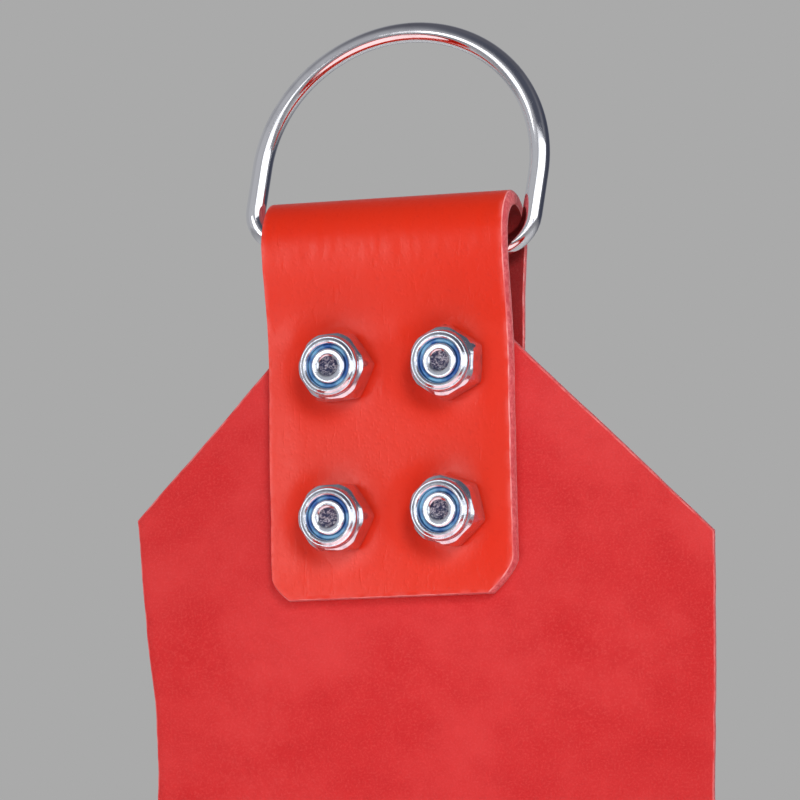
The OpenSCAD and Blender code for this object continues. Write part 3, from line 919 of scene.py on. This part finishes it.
def settled_skin():
    """How far the shell's skin stands out, on a grid of heights and angles, from a cloth simulation.

    The leather is pushed out by the filling, and held at the base, at the seams and under the lug feet."""
    heights = np.linspace(0, RIM_Z, SIM_ROWS)
    angles = np.arange(SIM_COLUMNS) * 2 * math.pi / SIM_COLUMNS
    height, angle = np.meshgrid(heights, angles, indexing="ij")
    rest = on_circle(SHELL_R, angle, height).reshape(-1, 3)
    dents = 1.6 * lumps(rest * np.array([1, 1, 0.6]), 55, 4) + 0.8 * lumps(rest, 24, 5)
    hold = np.maximum(1 - smooth(height, 10, 34), smooth(height, FREE_TOP - 20, FREE_TOP)).ravel()
    hold = np.maximum(hold, 1 - smooth(np.abs(height - LAP_Z - 6), LAP_HOLD, LAP_HOLD + 14).ravel())
    across = angle - math.radians(90 + SEAM_ANGLE)
    seam = np.abs((across + math.pi) % (2 * math.pi) - math.pi) * SHELL_R
    hold = np.maximum(hold, 0.75 * (1 - smooth(seam, 8, 20)).ravel())
    outward = on_circle(1, angle, 0).reshape(-1, 3)
    skin = rest + outward * (dents * (1 - hold))[:, None]
    skin = simulate(skin, grid_faces(SIM_ROWS, SIM_COLUMNS, wrap=True), hold)
    out = np.clip(np.sum((skin - rest) * outward, axis=1), -4, 9)
    return out.reshape(SIM_ROWS, SIM_COLUMNS)


# Leather that is 1.8 % too long for its frame, under pressure from the filling
CLOTH = {
    "use_pressure": True,
    "uniform_pressure_force": 6,
    "quality": 6,
    "mass": 0.5,
    "tension_stiffness": 30,
    "compression_stiffness": 30,
    "shear_stiffness": 12,
    "bending_stiffness": 2,
    "shrink_min": -0.018,
}


def simulate(points, faces, hold):
    """Cloth under pressure from inside, for points in millimetres; hold pins a point where it is 1."""
    mesh = bpy.data.meshes.new("skin")
    mesh.from_pydata((points * MM).tolist(), [], faces.tolist())
    cloth_piece = bpy.data.objects.new("skin", mesh)
    bpy.context.scene.collection.objects.link(cloth_piece)
    pins = cloth_piece.vertex_groups.new(name="hold")
    for i, weight in enumerate(hold):
        if weight > 0.01:
            pins.add([i], float(weight), "REPLACE")
    modifier = cloth_piece.modifiers.new("cloth", "CLOTH")
    for name, value in CLOTH.items():
        setattr(modifier.settings, name, value)
    modifier.settings.vertex_group_mass = "hold"
    modifier.settings.effector_weights.gravity = 0
    modifier.point_cache.frame_start = 1
    modifier.point_cache.frame_end = SIM_FRAMES
    scene = bpy.context.scene
    for step in range(1, SIM_FRAMES + 1):
        scene.frame_set(step)
    done = cloth_piece.evaluated_get(bpy.context.evaluated_depsgraph_get()).data
    moved = np.zeros(len(done.vertices) * 3, dtype=np.float32)
    done.vertices.foreach_get("co", moved)
    bpy.data.objects.remove(cloth_piece)
    scene.frame_set(1)
    return moved.reshape(-1, 3).astype(float) / MM


SKIN_OUT = settled_skin()


def skin_out(angle, z):
    """How far the settled skin stands out at an angle (radians from +X) and a height."""
    column = (np.asarray(angle) / (2 * math.pi) % 1) * SIM_COLUMNS
    first = np.floor(column).astype(int) % SIM_COLUMNS
    share = column - np.floor(column)
    row = np.clip(np.asarray(z) / RIM_Z * (SIM_ROWS - 1), 0, SIM_ROWS - 1.001)
    under = np.floor(row).astype(int)
    rise = row - under
    second = (first + 1) % SIM_COLUMNS
    low = SKIN_OUT[under, first] * (1 - share) + SKIN_OUT[under, second] * share
    high = SKIN_OUT[under + 1, first] * (1 - share) + SKIN_OUT[under + 1, second] * share
    return low * (1 - rise) + high * rise


def seam_angles(count):
    """Angles round the shell, closer together at the side seam."""
    seam = math.radians(90 + SEAM_ANGLE)
    offsets = np.array([0.5, 1.2, 2.6, 3.4, 4.4, 6.5])
    near = seam + np.concatenate([-offsets, [0], offsets]) / SHELL_R
    even = np.arange(count) * 2 * math.pi / count
    keep = np.abs(even - seam) * SHELL_R > 7.5
    return np.sort(np.concatenate([even[keep], near]))


def seam_step(angle):
    """Side seam: one edge of the panel laps over the other, and both rows of thread pull the leather in."""
    off = (angle - math.radians(90 + SEAM_ANGLE)) * SHELL_R
    lap = 1.1 * (1 - smooth(off, -0.2, 0.5)) * smooth(off, -14, 0)
    rows = 0.45 * (np.exp(-((off - 3) / 0.9) ** 2) + np.exp(-((off + 3) / 0.9) ** 2))
    return lap - rows


def shell_panel(profile, slots, node):
    """Panel of the shell from a closed profile of (radius, height)."""
    angles = seam_angles(260)
    count = len(angles)
    r, z = (column[:, None] for column in np.array(profile, dtype=float).T)
    angle = np.repeat(angles[None, :], len(profile), axis=0)
    radius = r + skin_out(angle, z) + seam_step(angle) * smooth(r, SHELL_R - SHELL_T, SHELL_R)
    points = on_circle(radius, angle, z).reshape(-1, 3)
    faces = grid_faces(len(profile) + 1, count, wrap=True) % len(points)
    piece = add_mesh(f"{node}_leather", points, faces, LEATHER, np.repeat(slots, count))
    add_wear(piece, 3.0)
    stand_in(piece, node)


def row_dips(z, rows, depth=0.5):
    """Pull of horizontal rows of thread on the skin at heights z."""
    return -depth * sum(np.exp(-((z - row) / 1.1) ** 2) for row in rows)


LAP_ROWS = [LAP_Z + 6, LAP_Z + 12]
BASE_ROW = 14
RIM_ROW = RIM_Z - 9


def dense(start, end, step, rows):
    """Heights from start to end, with extra ones at the rows of thread."""
    near = [row + off for row in rows for off in (-2.2, -1.1, -0.5, 0, 0.5, 1.1, 2.2)]
    near = [z for z in near if start < z < end]
    return np.unique(np.round(np.concatenate([np.arange(start, end, step), near, [end]]), 3))


def build_upper_shell():
    """Panel from the lap seam to the rim, with two rows of thread at the lap and one under the rim."""
    rows = LAP_ROWS + [RIM_ROW]
    heights = dense(LAP_Z + 1, RIM_Z - 0.9, 5, rows)
    inner_r = SHELL_R - SHELL_T
    outer = [(SHELL_R - 0.5, LAP_Z + 0.12), (SHELL_R - 0.12, LAP_Z + 0.5)]
    outer += zip(SHELL_R + row_dips(heights, rows), heights)
    rim = [(SHELL_R - 0.25, RIM_Z - 0.25), (SHELL_R - 0.9, RIM_Z - 0.02), (SHELL_R - 1.8, RIM_Z)]
    inner = [(inner_r + 0.5, RIM_Z - 0.05), (inner_r + 0.1, RIM_Z - 0.5)]
    inner += [(inner_r, z) for z in heights[::-4] if z < RIM_Z - 2]
    inner += [(inner_r + 0.1, LAP_Z + 0.4)]
    slots = [EDGE_HIGHLIGHT_LINE] + [GRAIN_SIDE] * (len(outer) - 2) + [EDGE_HIGHLIGHT_LINE] + [CUT_EDGE] * 3
    slots += [FLESH_SIDE] * len(inner) + [CUT_EDGE]
    shell_panel(outer + rim + inner + [(inner_r + 0.6, LAP_Z)], slots, "shell_upper")


def build_lower_shell():
    """Panel from the base to the lap seam, tucked under the upper panel at its top."""
    heights = dense(1.2, LAP_Z - 26, 5, [BASE_ROW])
    inner_r = SHELL_R - SHELL_T
    tuck_r = inner_r - SKIN_GAP
    outer = [(SHELL_R - 1.6, 0.02), (SHELL_R - 0.6, 0.25)]
    outer += zip(SHELL_R + row_dips(heights, [BASE_ROW]), heights)
    outer += [(SHELL_R - (SHELL_R - tuck_r) * float(smooth(z, LAP_Z - 24, LAP_Z + 0.5)), z)
              for z in np.linspace(LAP_Z - 22, LAP_Z + 4, 12)]
    lap = [(tuck_r, UNDERLAP_Z - 1), (tuck_r - 0.8, UNDERLAP_Z), (tuck_r - 2.2, UNDERLAP_Z - 0.1)]
    inner = [(tuck_r - 3, UNDERLAP_Z - 1), (tuck_r - 3, LAP_Z - 12)]
    inner += [(inner_r, z) for z in np.linspace(LAP_Z - 18, 3, 30)]
    foot = [(inner_r + 0.2, 0.4), (inner_r + 0.9, 0.02)]
    slots = [EDGE_HIGHLIGHT_LINE] + [GRAIN_SIDE] * (len(outer) - 1) + [CUT_EDGE] * len(lap)
    slots += [FLESH_SIDE] * (len(inner) - 1) + [CUT_EDGE] * 3
    shell_panel(outer + lap + inner + foot, slots, "shell_lower")


build_upper_shell()
build_lower_shell()


# ---- Other round pieces of the body ----

def round_leather(node, rings, slots, warp=None):
    """Leather piece revolved about the bag's axis, from a closed profile of (radius, height)."""
    steps = 180
    points, faces = revolve(rings, steps, closed=True)
    if warp is not None:
        points = warp(points)
    piece = add_mesh(f"{node}_leather", points, faces, LEATHER, np.repeat(slots, steps))
    stand_in(piece, node)


def rounded_wall(outer_r, inner_r, z0, z1, step, edge=0.6):
    """Closed profile of a tube with rounded rims, as (rings, slots)."""
    heights = np.arange(z0 + edge, z1 - edge, step)
    rings = [(outer_r, z) for z in heights] + [(outer_r, z1 - edge), (outer_r - 0.3 * edge, z1 - 0.3 * edge)]
    top = len(rings)
    rings += [(outer_r - edge, z1), (inner_r + edge, z1), (inner_r + 0.3 * edge, z1 - 0.3 * edge)]
    rings += [(inner_r, z) for z in heights[::-1]]
    bottom = len(rings)
    rings += [(inner_r + 0.3 * edge, z0 + 0.3 * edge), (inner_r + edge, z0), (outer_r - edge, z0),
              (outer_r - 0.3 * edge, z0 + 0.3 * edge)]
    slots = np.full(len(rings), GRAIN_SIDE)
    slots[:top] = FLESH_SIDE
    slots[top - 1:top + 2] = CUT_EDGE
    slots[bottom - 1:] = CUT_EDGE
    return rings, slots


def build_rim_band():
    """Band of leather inside the rim, with its grain towards the cover."""
    low, high = box_mm("rim_band")
    rings, slots = rounded_wall(high[0], high[0] - 3, low[2], high[2], 4)
    round_leather("rim_band", rings, slots)


def build_base():
    """Round bottom with an upturned flange; its middle is pressed up a little by the fold of its edge."""
    r, _, top = box_mm("base_panel")[1]
    t = 4
    radii = np.linspace(6, r - 6, 26)
    under = [(x, 0.9 * (1 - smooth(x, r - 30, r - 8))) for x in radii]
    rings = [(0.4, 0.9)] + under + [(r - 2.5, 0.15), (r - 0.8, 1.0), (r - 0.1, 3)]
    outside = len(rings)
    rings += [(r - 0.05, z) for z in np.linspace(6, top - 1, 6)]
    rings += [(r - 1, top), (r - 3, top), (r - t, top - 1)]
    rings += [(r - t, z) for z in np.linspace(top - 4, 6, 6)] + [(r - t - 1.5, t + 0.8)]
    rings += [(x, t + 0.2 + 0.7 * (1 - smooth(x, r - 30, r - 8))) for x in radii[::-3]] + [(0.4, t + 0.9)]
    slots = np.full(len(rings), GRAIN_SIDE)
    slots[outside + 6:outside + 8] = CUT_EDGE
    slots[outside + 8:] = FLESH_SIDE

    def warp(points):
        flat = 1 - smooth(np.hypot(points[:, 0], points[:, 1]), r - 40, r - 12)
        points[:, 2] += flat * 0.5 * lumps(points * np.array([1, 1, 0]), 45, 3)
        return points

    round_leather("base_panel", rings, slots, warp)


def build_foam():
    """Foam wrap, with shallow dents in both faces."""
    low, high = box_mm("foam_layer")
    rings, _ = rounded_wall(high[0] - 0.6, high[0] - 17.4, low[2], high[2], 14, edge=2)
    points, faces = revolve(rings, 120, closed=True)
    reach = np.hypot(points[:, 0], points[:, 1])
    dent = np.abs(0.5 * lumps(points, 30, 6)) * np.where(reach > high[0] - 9, -1, 1)
    points[:, :2] *= (1 + dent / reach)[:, None]
    stand_in(add_mesh("foam_layer_wrap", points, faces, [FOAM]), "foam_layer")


def build_liner():
    """Open canvas sack with soft lengthwise folds."""
    low, high = box_mm("liner")
    r, z0, z1 = high[0], low[2], high[2]
    heights = np.linspace(z0 + 10, z1 - 1, 46)
    rings = [(0.5, z0)] + [(x, z0) for x in np.linspace(12, r - 12, 8)] + [(r - 4, z0 + 1.2), (r - 1, z0 + 4)]
    rings += [(r - 0.5, z) for z in heights] + [(r - 0.7, z1)]
    rings += [(r - 1.5, z) for z in heights[::-1]] + [(r - 2, z0 + 5)]
    rings += [(r - 6, z0 + 1.9)] + [(x, z0 + 0.9) for x in np.linspace(r - 14, 12, 8)] + [(0.5, z0 + 0.9)]
    points, faces = revolve(rings, 160, closed=True)
    angle = np.arctan2(points[:, 1], points[:, 0])
    folds = 0.35 * np.sin(23 * angle + 2 * np.sin(3 * angle))
    free = smooth(points[:, 2], z0 + 20, z0 + 80) * (np.hypot(points[:, 0], points[:, 1]) > r - 8)
    points[:, :2] *= (1 - (0.35 - folds) * free / r)[:, None]
    stand_in(add_mesh("liner_canvas", points, faces, [CANVAS]), "liner")


def build_filling():
    """Rags packed in the liner, lumpy on top."""
    low, high = box_mm("filling")
    r, z0, z1 = high[0] - 2.5, low[2] + 1.5, high[2]
    heights = np.linspace(z0 + 12, z1 - 22, 46)
    rings = [(x, z0) for x in np.linspace(2, r - 12, 9)] + [(r - 3, z0 + 4)] + [(r, z) for z in heights]
    rings += [(r - 2, z1 - 12), (r - 8, z1 - 5)] + [(x, z1 - 3) for x in np.linspace(r - 16, 2, 14)]
    points, faces = revolve(rings, 110)
    reach = np.hypot(points[:, 0], points[:, 1])
    lump = lumps(points, 38, 8) + 0.5 * lumps(points, 16, 9)
    points[:, :2] *= (1 - np.abs(lump) * 1.6 / np.maximum(reach, 30))[:, None]
    points[:, 2] -= np.abs(lump) * 5 * smooth(points[:, 2], z1 - 14, z1 - 6)
    stand_in(add_mesh("filling_rags", points, faces, [RAGS], sharp_angle=80), "filling")


build_rim_band()
build_base()
build_foam()
build_liner()
build_filling()


# ---- Top cover and zip ----

COVER_T = 3
COVER_FLANGE = 30
ZIP_GAP = 9
COVER_ROW = ZIP_GAP / 2 + 5
COVER_COLUMNS = 96


def cover_point(share, angle, height, side):
    """Point on the cover's top, which sags between the zip and the rim, with creases.

    share runs from 0 at the zip to 1 at the rim, and height from 0 underneath to COVER_T on top.
    """
    rim_r = COVER_R - COVER_T
    slit = ZIP_GAP / 2
    rim = on_circle(rim_r, angle, 0)[..., :2]
    rim[..., 1] = np.maximum(rim[..., 1], slit)
    half_chord = math.sqrt(rim_r ** 2 - slit ** 2)
    foot = np.stack([half_chord * np.cos(angle), np.full_like(angle, slit)], axis=-1)
    flat = foot + (rim - foot) * share[..., None]
    x, y = flat[..., 0], flat[..., 1]
    depth = y - slit
    sag = -5.5 * smooth(rim[..., 1] - slit, 4, 90) * np.sin(np.pi * share ** 0.9) ** 1.4
    at = np.stack([x, y, np.full_like(x, side * 60.0)], axis=-1)
    fold = 1.5 * lumps(at * np.array([1, 0.5, 1]), 34, side + 2) + 0.6 * lumps(at, 13, side + 4)
    free = smooth(depth, 9, 26) * (1 - smooth(np.hypot(x, y), COVER_R - 22, COVER_R - 4))
    thread_dip = 0.45 * np.exp(-(y - COVER_ROW) ** 2) * height / COVER_T
    z = COVER_Z + sag + free * fold.reshape(share.shape) - (COVER_T - height) - thread_dip
    return np.stack([x, y, z], axis=-1)


def cover_wall(radius, z):
    """Row of points round the flange, cut off straight at the zip."""
    start = math.asin(ZIP_GAP / 2 / COVER_R)
    angle = np.clip(np.linspace(0, math.pi, COVER_COLUMNS), start, math.pi - start)
    y = np.maximum(radius * np.sin(angle), ZIP_GAP / 2)
    x = np.sign(np.cos(angle)) * np.sqrt(np.maximum(radius ** 2 - y ** 2, 0))
    return np.stack([x, y, np.full_like(x, z)], axis=-1)


def cover_half(side):
    """Half of the top cover: rows of points over its top, down the flange and back underneath."""
    name = "cover_back" if side == 0 else "cover_front"
    r, top_z, low_z = COVER_R, COVER_Z, COVER_Z - COVER_FLANGE
    share, angle = np.meshgrid(np.linspace(0, 1, 44), np.linspace(0, math.pi, COVER_COLUMNS), indexing="ij")
    top, under = (cover_point(share, angle, np.full_like(share, height), side) for height in (COVER_T, 0))
    down = np.linspace(0, 1, 9)
    outside = [(r - 1.4, top_z - 0.35), (r - 0.4, top_z - 1.2), (r, top_z - 3)]
    outside += [(r, top_z - 3 - s * (COVER_FLANGE - 3.6)) for s in down[1:]]
    lip = [(r - 0.6, low_z), (r - 2.4, low_z)]
    inside = [(r - 3, low_z + 0.6)] + [(r - 3, low_z + 1 + s * (COVER_FLANGE - 8)) for s in down]
    inside += [(r - 3.2, top_z - 4.6)]
    walls = np.stack([cover_wall(*wall) for wall in outside + lip + inside])
    rows = np.concatenate([top, walls, under[::-1]])
    points = rows.reshape(-1, 3) * ([-1, -1, 1] if side else 1)
    faces = grid_faces(len(rows) + 1, COVER_COLUMNS) % len(points)
    ends = [list(range(first, len(points), COVER_COLUMNS)) for first in (0, COVER_COLUMNS - 1)]
    grain = len(top) + len(outside) + 1
    slots = [GRAIN_SIDE] * grain + [CUT_EDGE] * 2 + [FLESH_SIDE] * (len(rows) - grain - 3) + [CUT_EDGE]
    slots = np.concatenate([np.repeat(slots, COVER_COLUMNS - 1), [CUT_EDGE] * 2])
    piece = add_mesh(f"{name}_leather", points, faces.tolist() + ends, LEATHER, slots)
    stand_in(piece, name)


def build_tapes():
    """Two woven tapes, slightly rippled under the cover."""
    low, high = box_mm("zip_tapes")
    half_length, half_t = (high[0] - low[0]) / 2, (high[2] - low[2]) / 2
    middle, slit, width = (high[2] + low[2]) / 2, 0.4, high[1] - 0.4
    rows = np.linspace(-half_length, half_length, 120)
    layers = [(half_t, 0.25, 0.25), (half_t - 0.1, 0.06, 0.06), (0, 0, 0), (0.1 - half_t, 0.06, 0.06),
              (-half_t, 0.25, 0.25)]

    def tape(side):
        def place(u, v, height):
            ripple = -0.25 * np.abs(np.sin(v / 9.0 + side)) * smooth(u, 5, width)
            return np.stack([side * v, side * (u + slit), middle + height + ripple], axis=-1)

        points, faces, _ = sheet(rows, 14, np.zeros_like, lambda v: np.full_like(v, width), place, layers)
        return points, faces.tolist()

    points, faces = join([tape(1), tape(-1)])
    stand_in(add_mesh("zip_tapes_woven", points, faces, [ZIP_TAPE]), "zip_tapes")


def finish_zip_metal():
    """The zip's metal keeps its CAD shapes, and gets small rounded edges and a plated look."""
    for node, width in (("zip_teeth", 0.35), ("zip_stops", 0.5), ("zip_slider", 0.25), ("zip_pull", 0.3)):
        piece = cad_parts[node]
        piece.data.materials.clear()
        piece.data.materials.append(ZIP_METAL)
        weld = piece.modifiers.new("weld", "WELD")
        weld.merge_threshold = 0.01 * MM
        soften = piece.modifiers.new("soften", "BEVEL")
        soften.width = width * MM
        soften.segments = 2
        soften.limit_method = "ANGLE"
        soften.angle_limit = math.radians(40)


cover_half(0)
cover_half(1)
build_tapes()
finish_zip_metal()


# ---- Stitching ----

STITCH_PITCH = 6.2
STITCH_LENGTH = 4.9
STITCH_R = 0.55
STITCH_SIDES = 6
# Along a stitch, in its length, radius and radius: place, lift of the thread, and thickness
STITCH_RINGS = [(-0.5, -0.75, 0.5), (-0.42, 0.05, 0.85), (-0.2, 0.42, 1), (0.2, 0.42, 1), (0.42, 0.05, 0.85),
                (0.5, -0.75, 0.5)]


def along_line(places, gone, values):
    """Values at places along a line, where gone is the distance of each of its points."""
    return np.stack([np.interp(places, gone, values[:, k]) for k in range(3)], axis=-1)


def stitch_row(line, normals, closed=False):
    """Thread stitches along a line of surface points, each with its ends sunk into the leather."""
    if closed:
        line = np.vstack([line, line[:1]])
        normals = np.vstack([normals, normals[:1]])
    gone = np.concatenate([[0], np.cumsum(np.linalg.norm(np.diff(line, axis=0), axis=1))])
    count = max(1, round(gone[-1] / STITCH_PITCH))
    place, lift, thick = np.array(STITCH_RINGS).T
    at = (np.arange(count)[:, None] + 0.5) * gone[-1] / count + place * STITCH_LENGTH
    normal = along_line(at, gone, normals)
    normal /= np.linalg.norm(normal, axis=-1, keepdims=True)
    across = np.cross(along_line(at + 0.5, gone, line) - along_line(at - 0.5, gone, line), normal)
    across /= np.linalg.norm(across, axis=-1, keepdims=True)
    centre = along_line(at, gone, line) + normal * (lift * STITCH_R)[:, None]
    turn = (np.arange(STITCH_SIDES) * 2 * math.pi / STITCH_SIDES)[:, None]
    round_off = across[:, :, None] * np.cos(turn) + normal[:, :, None] * np.sin(turn)
    points = centre[:, :, None] + STITCH_R * thick[:, None, None] * round_off
    tube = grid_faces(len(STITCH_RINGS), STITCH_SIDES, wrap=True).tolist()
    last = (len(STITCH_RINGS) - 1) * STITCH_SIDES
    tube += [list(range(STITCH_SIDES)), list(range(last, last + STITCH_SIDES))]
    return join([(stitch.reshape(-1, 3), tube) for stitch in points])


def add_stitching(node, rows):
    """One piece of thread for rows of (line, normals, closed)."""
    points, faces = join([stitch_row(*row) for row in rows])
    stand_in(add_mesh(f"{node}_thread", points, faces, [THREAD], sharp_angle=70), node)


def on_shell(angle, heights, radius):
    """Row of thread on a round wall: line, outward normals, and not closed."""
    return on_circle(radius, angle, heights), on_circle(1, angle, np.zeros_like(heights)), False


def level_angles(start, end):
    """Angles from +X for a level row from start to end, in degrees from the back."""
    return np.radians(90 + np.linspace(start, end, max(2, int(abs(end - start)))))


def skin_ring(z, start=0, end=359):
    """Level row on the settled skin, pulled in a little; it is closed when it goes all the way round."""
    angle = level_angles(start, end)
    heights = np.full_like(angle, z)
    line, normals, _ = on_shell(angle, heights, SHELL_R + skin_out(angle, heights) - 0.45)
    return line, normals, end - start == 359


def side_row(offset, z0, z1):
    """Upright row on the settled skin, at an offset from the side seam."""
    heights = np.linspace(z0, z1, 60)
    angle = np.full_like(heights, math.radians(90 + SEAM_ANGLE) + offset / SHELL_R)
    return on_shell(angle, heights, SHELL_R + skin_out(angle, heights) + seam_step(angle))


FOOT_INSET = 7


def foot_rows(left, right):
    """Rows on a lug's foot, between two angles in degrees: round its edge and across its middle."""
    radius = SHELL_R + SKIN_GAP + LEATHER_T
    bottom, top = foot_low[2] + FOOT_INSET, RIM_Z - FLARE_DROP - FOOT_INSET
    middle = (bottom + top) / 2
    level = level_angles(left, right)
    rows = [on_shell(level, np.full_like(level, z), radius) for z in (bottom, middle, top)]
    for degrees in (left, right):
        for z0, z1 in ((bottom + 2, middle - 2), (middle + 2, top - 2)):
            heights = np.linspace(z0, z1, 60)
            rows.append(on_shell(np.full_like(heights, math.radians(90 + degrees)), heights, radius))
    return rows


def build_stitching():
    """Every row of thread on the shell, the feet of the lugs and the cover."""
    add_stitching("lap_stitching", [skin_ring(z) for z in LAP_ROWS])
    add_stitching("base_stitching", [skin_ring(BASE_ROW)])
    spans = [(30, LAP_Z - 10), (LAP_Z + 22, RIM_Z - 20)]
    add_stitching("side_stitching", [side_row(offset, *span) for offset in (-3, 3) for span in spans])

    left, right, inset = np.degrees(np.array([-foot_low[0], LUG_RIGHT, FOOT_INSET]) / LUG_Y)
    turns = [-90 * side for side in range(4)]
    between = [(left + 1.5 + turn, 88.5 - right + turn) for turn in turns]
    add_stitching("rim_stitching", [skin_ring(RIM_ROW, *ends) for ends in between])
    feet = [foot_rows(turn + inset - right, turn + left - inset) for turn in turns]
    add_stitching("foot_stitching", sum(feet, []))

    x = np.linspace(-1, 1, 60) * box_mm("cover_stitching")[1][0]
    rows = []
    for y in (-COVER_ROW, COVER_ROW):
        line = np.stack([x, np.full_like(x, y), np.full_like(x, COVER_Z - 0.4)], axis=1)
        rows.append((line, np.tile([0.0, 0, 1], (len(x), 1)), False))
    add_stitching("cover_stitching", rows)


build_stitching()


# ---- Stage, light and camera ----

# The room's own light, and patches in it: direction, inner and outer half-angle in degrees, colour
ROOM_LIGHT = (0.3, 0.3, 0.32)
PATCHES = [
    ((0.9, 0.5, 0.2), (10, 60), (0.05, 0.055, 0.08)),
    ((0.2, 0, 1), (20, 60), (0.1, 0.1, 0.12)),
    ((0.5, -0.8, 0.6), (15, 45), (0.07, 0.075, 0.1)),
    ((-0.8, 0.6, 0.1), (20, 60), (0.4, 0.4, 0.41)),
    ((-0.7, -0.7, 0.0), (20, 50), (0.45, 0.45, 0.47)),
    ((0.1, -0.5, -0.85), (20, 45), (0.9, 0.88, 0.88)),
]


def build_floor():
    """Pale round floor, in metres, that fades into the background far from the bag."""
    rings = [(r, 0) for r in (0.01, 0.4, 1, 2, 3.5, 5.5, 8)]
    points, faces = revolve(rings, 96)
    mesh = bpy.data.meshes.new("floor")
    mesh.from_pydata((points - np.array([0, 0, 0.0004])).tolist(), [], faces[:-1])
    look = Look("floor", (0.62, 0.62, 0.62), 0.6)
    reach = look.node("ShaderNodeVectorMath", {0: look.place}, operation="LENGTH").outputs["Value"]
    look.set({"Base Color": look.mix(look.noise(5, 4), (0.6, 0.6, 0.6), (0.64, 0.64, 0.64))})
    look.set({"Alpha": look.curve(reach, 2.2, 7.5, 1, 0)})
    mesh.materials.append(look.material)
    floor = bpy.data.objects.new("floor", mesh)
    bpy.context.scene.collection.objects.link(floor)
    return floor


def build_world():
    """Grey background for the camera; patches of light in a darker room for everything else."""
    world = bpy.data.worlds.new("studio")
    bpy.context.scene.world = world
    world.use_nodes = True
    world.node_tree.nodes.clear()
    tree = Tree(world.node_tree)
    direction = tree.node("ShaderNodeTexCoord").outputs["Generated"]
    light = ROOM_LIGHT
    for place, (inner, outer), colour in PATCHES:
        inputs = {0: direction, 1: Vector(place).normalized()}
        near = tree.node("ShaderNodeVectorMath", inputs, operation="DOT_PRODUCT").outputs["Value"]
        glow = tree.curve(near, math.cos(math.radians(outer)), math.cos(math.radians(inner)))
        light = tree.mix(glow, light, colour)
    room = tree.node("ShaderNodeBackground", {"Color": light}).outputs[0]
    plain = tree.node("ShaderNodeBackground", {"Color": srgb(170, 170, 170)}).outputs[0]
    seen = tree.node("ShaderNodeLightPath").outputs["Is Camera Ray"]
    pick = tree.node("ShaderNodeMixShader", {0: seen, 1: room, 2: plain}).outputs[0]
    tree.node("ShaderNodeOutputWorld", {0: pick})


def add_light(name, place, aim, size, power, in_mirrors=True, height=None):
    """Area light in metres and watts, aimed at a point; a round one unless it has a height."""
    lamp = bpy.data.lights.new(name, "AREA")
    lamp.shape = "RECTANGLE" if height else "DISK"
    lamp.size = size
    lamp.size_y = height or size
    lamp.energy = power
    light = bpy.data.objects.new(name, lamp)
    light.location = place
    light.visible_glossy = in_mirrors
    light.visible_camera = False
    light.rotation_euler = (Vector(aim) - Vector(place)).to_track_quat("-Z", "Y").to_euler()
    bpy.context.scene.collection.objects.link(light)
    return light


def only_lights(light, thing):
    """Makes a light reach one object and nothing else."""
    lit = bpy.data.collections.new(f"{light.name}_receivers")
    lit.objects.link(thing)
    light.light_linking.receiver_collection = lit


def add_sheen(piece):
    """Soft reflection on the left half of a hanger's strap only."""
    fold = FOLD_Z * MM
    light = add_light("sheen", (-0.15, -0.1, fold - 0.08), (0, 0.17, fold - 0.045), 0.1, 0.31, height=0.16)
    light.visible_diffuse = False
    only_lights(light, piece)


def build_lights(floor):
    """Softboxes round the back hanger, a lamp on each side of the bag and one for the floor only."""
    hanger, bag = (0, 0.17, 1.0), (0, 0, 0.6)
    only_lights(add_light("floor_wash", (0, 0, 4), (0, 0, 0), 12, 110, in_mirrors=False), floor)
    add_sheen(bpy.data.objects["strap_back_leather"])
    add_light("key", (0.34, -0.53, 1.38), hanger, 0.3, 2.5, in_mirrors=False)
    add_light("right_box", (0.9, -0.98, 1.1), hanger, 2.4, 6.4, height=0.68)
    add_light("left_box", (-0.72, -1.2, 1.0), hanger, 0.9, 2.2, height=0.5)
    add_light("fill", (-0.5, -1.5, 1.2), hanger, 0.8, 2.4, in_mirrors=False)
    add_light("card", (0, 0, 0.873), (0, 0, 2), 0.26, 0.14)
    add_light("side", (2.2, 0.2, 1.6), bag, 1.4, 14, in_mirrors=False)
    add_light("back", (-0.9, 2.2, 1.8), bag, 1.6, 26, in_mirrors=False)


def hide_from_mirrors():
    """Keeps the leather of the other three hangers out of the reflections in the metal."""
    for name in SIDES[1:]:
        for label in ("lug", "strap"):
            bpy.data.objects[f"{label}_{name}_leather"].visible_glossy = False


def build_camera():
    """View from inside the ring of lugs, slightly right of the back lug's middle and slightly below it."""
    azimuth, elevation, roll = math.radians(11.72), math.radians(-4.03), math.radians(-1.09)
    distance, lens = 0.470, 104.8
    target = Vector((1.19, LUG_Y, FOLD_Z - 40.86)) * MM
    level = Vector((math.cos(azimuth), math.sin(azimuth), 0))
    ahead = Vector((-math.sin(azimuth), math.cos(azimuth), 0)) * math.cos(elevation)
    ahead.z = -math.sin(elevation)
    upright = level.cross(ahead)
    right = level * math.cos(roll) + upright * math.sin(roll)
    up = upright * math.cos(roll) - level * math.sin(roll)
    data = bpy.data.cameras.new("camera")
    data.lens = lens
    data.clip_start = 0.01
    camera = bpy.data.objects.new("camera", data)
    turn = Matrix((right, up, -ahead)).transposed().to_4x4()
    camera.matrix_world = Matrix.Translation(target - ahead * distance) @ turn
    bpy.context.scene.collection.objects.link(camera)
    bpy.context.scene.camera = camera


build_world()
build_lights(build_floor())
hide_from_mirrors()
build_camera()
bpy.context.scene.view_settings.view_transform = "Standard"
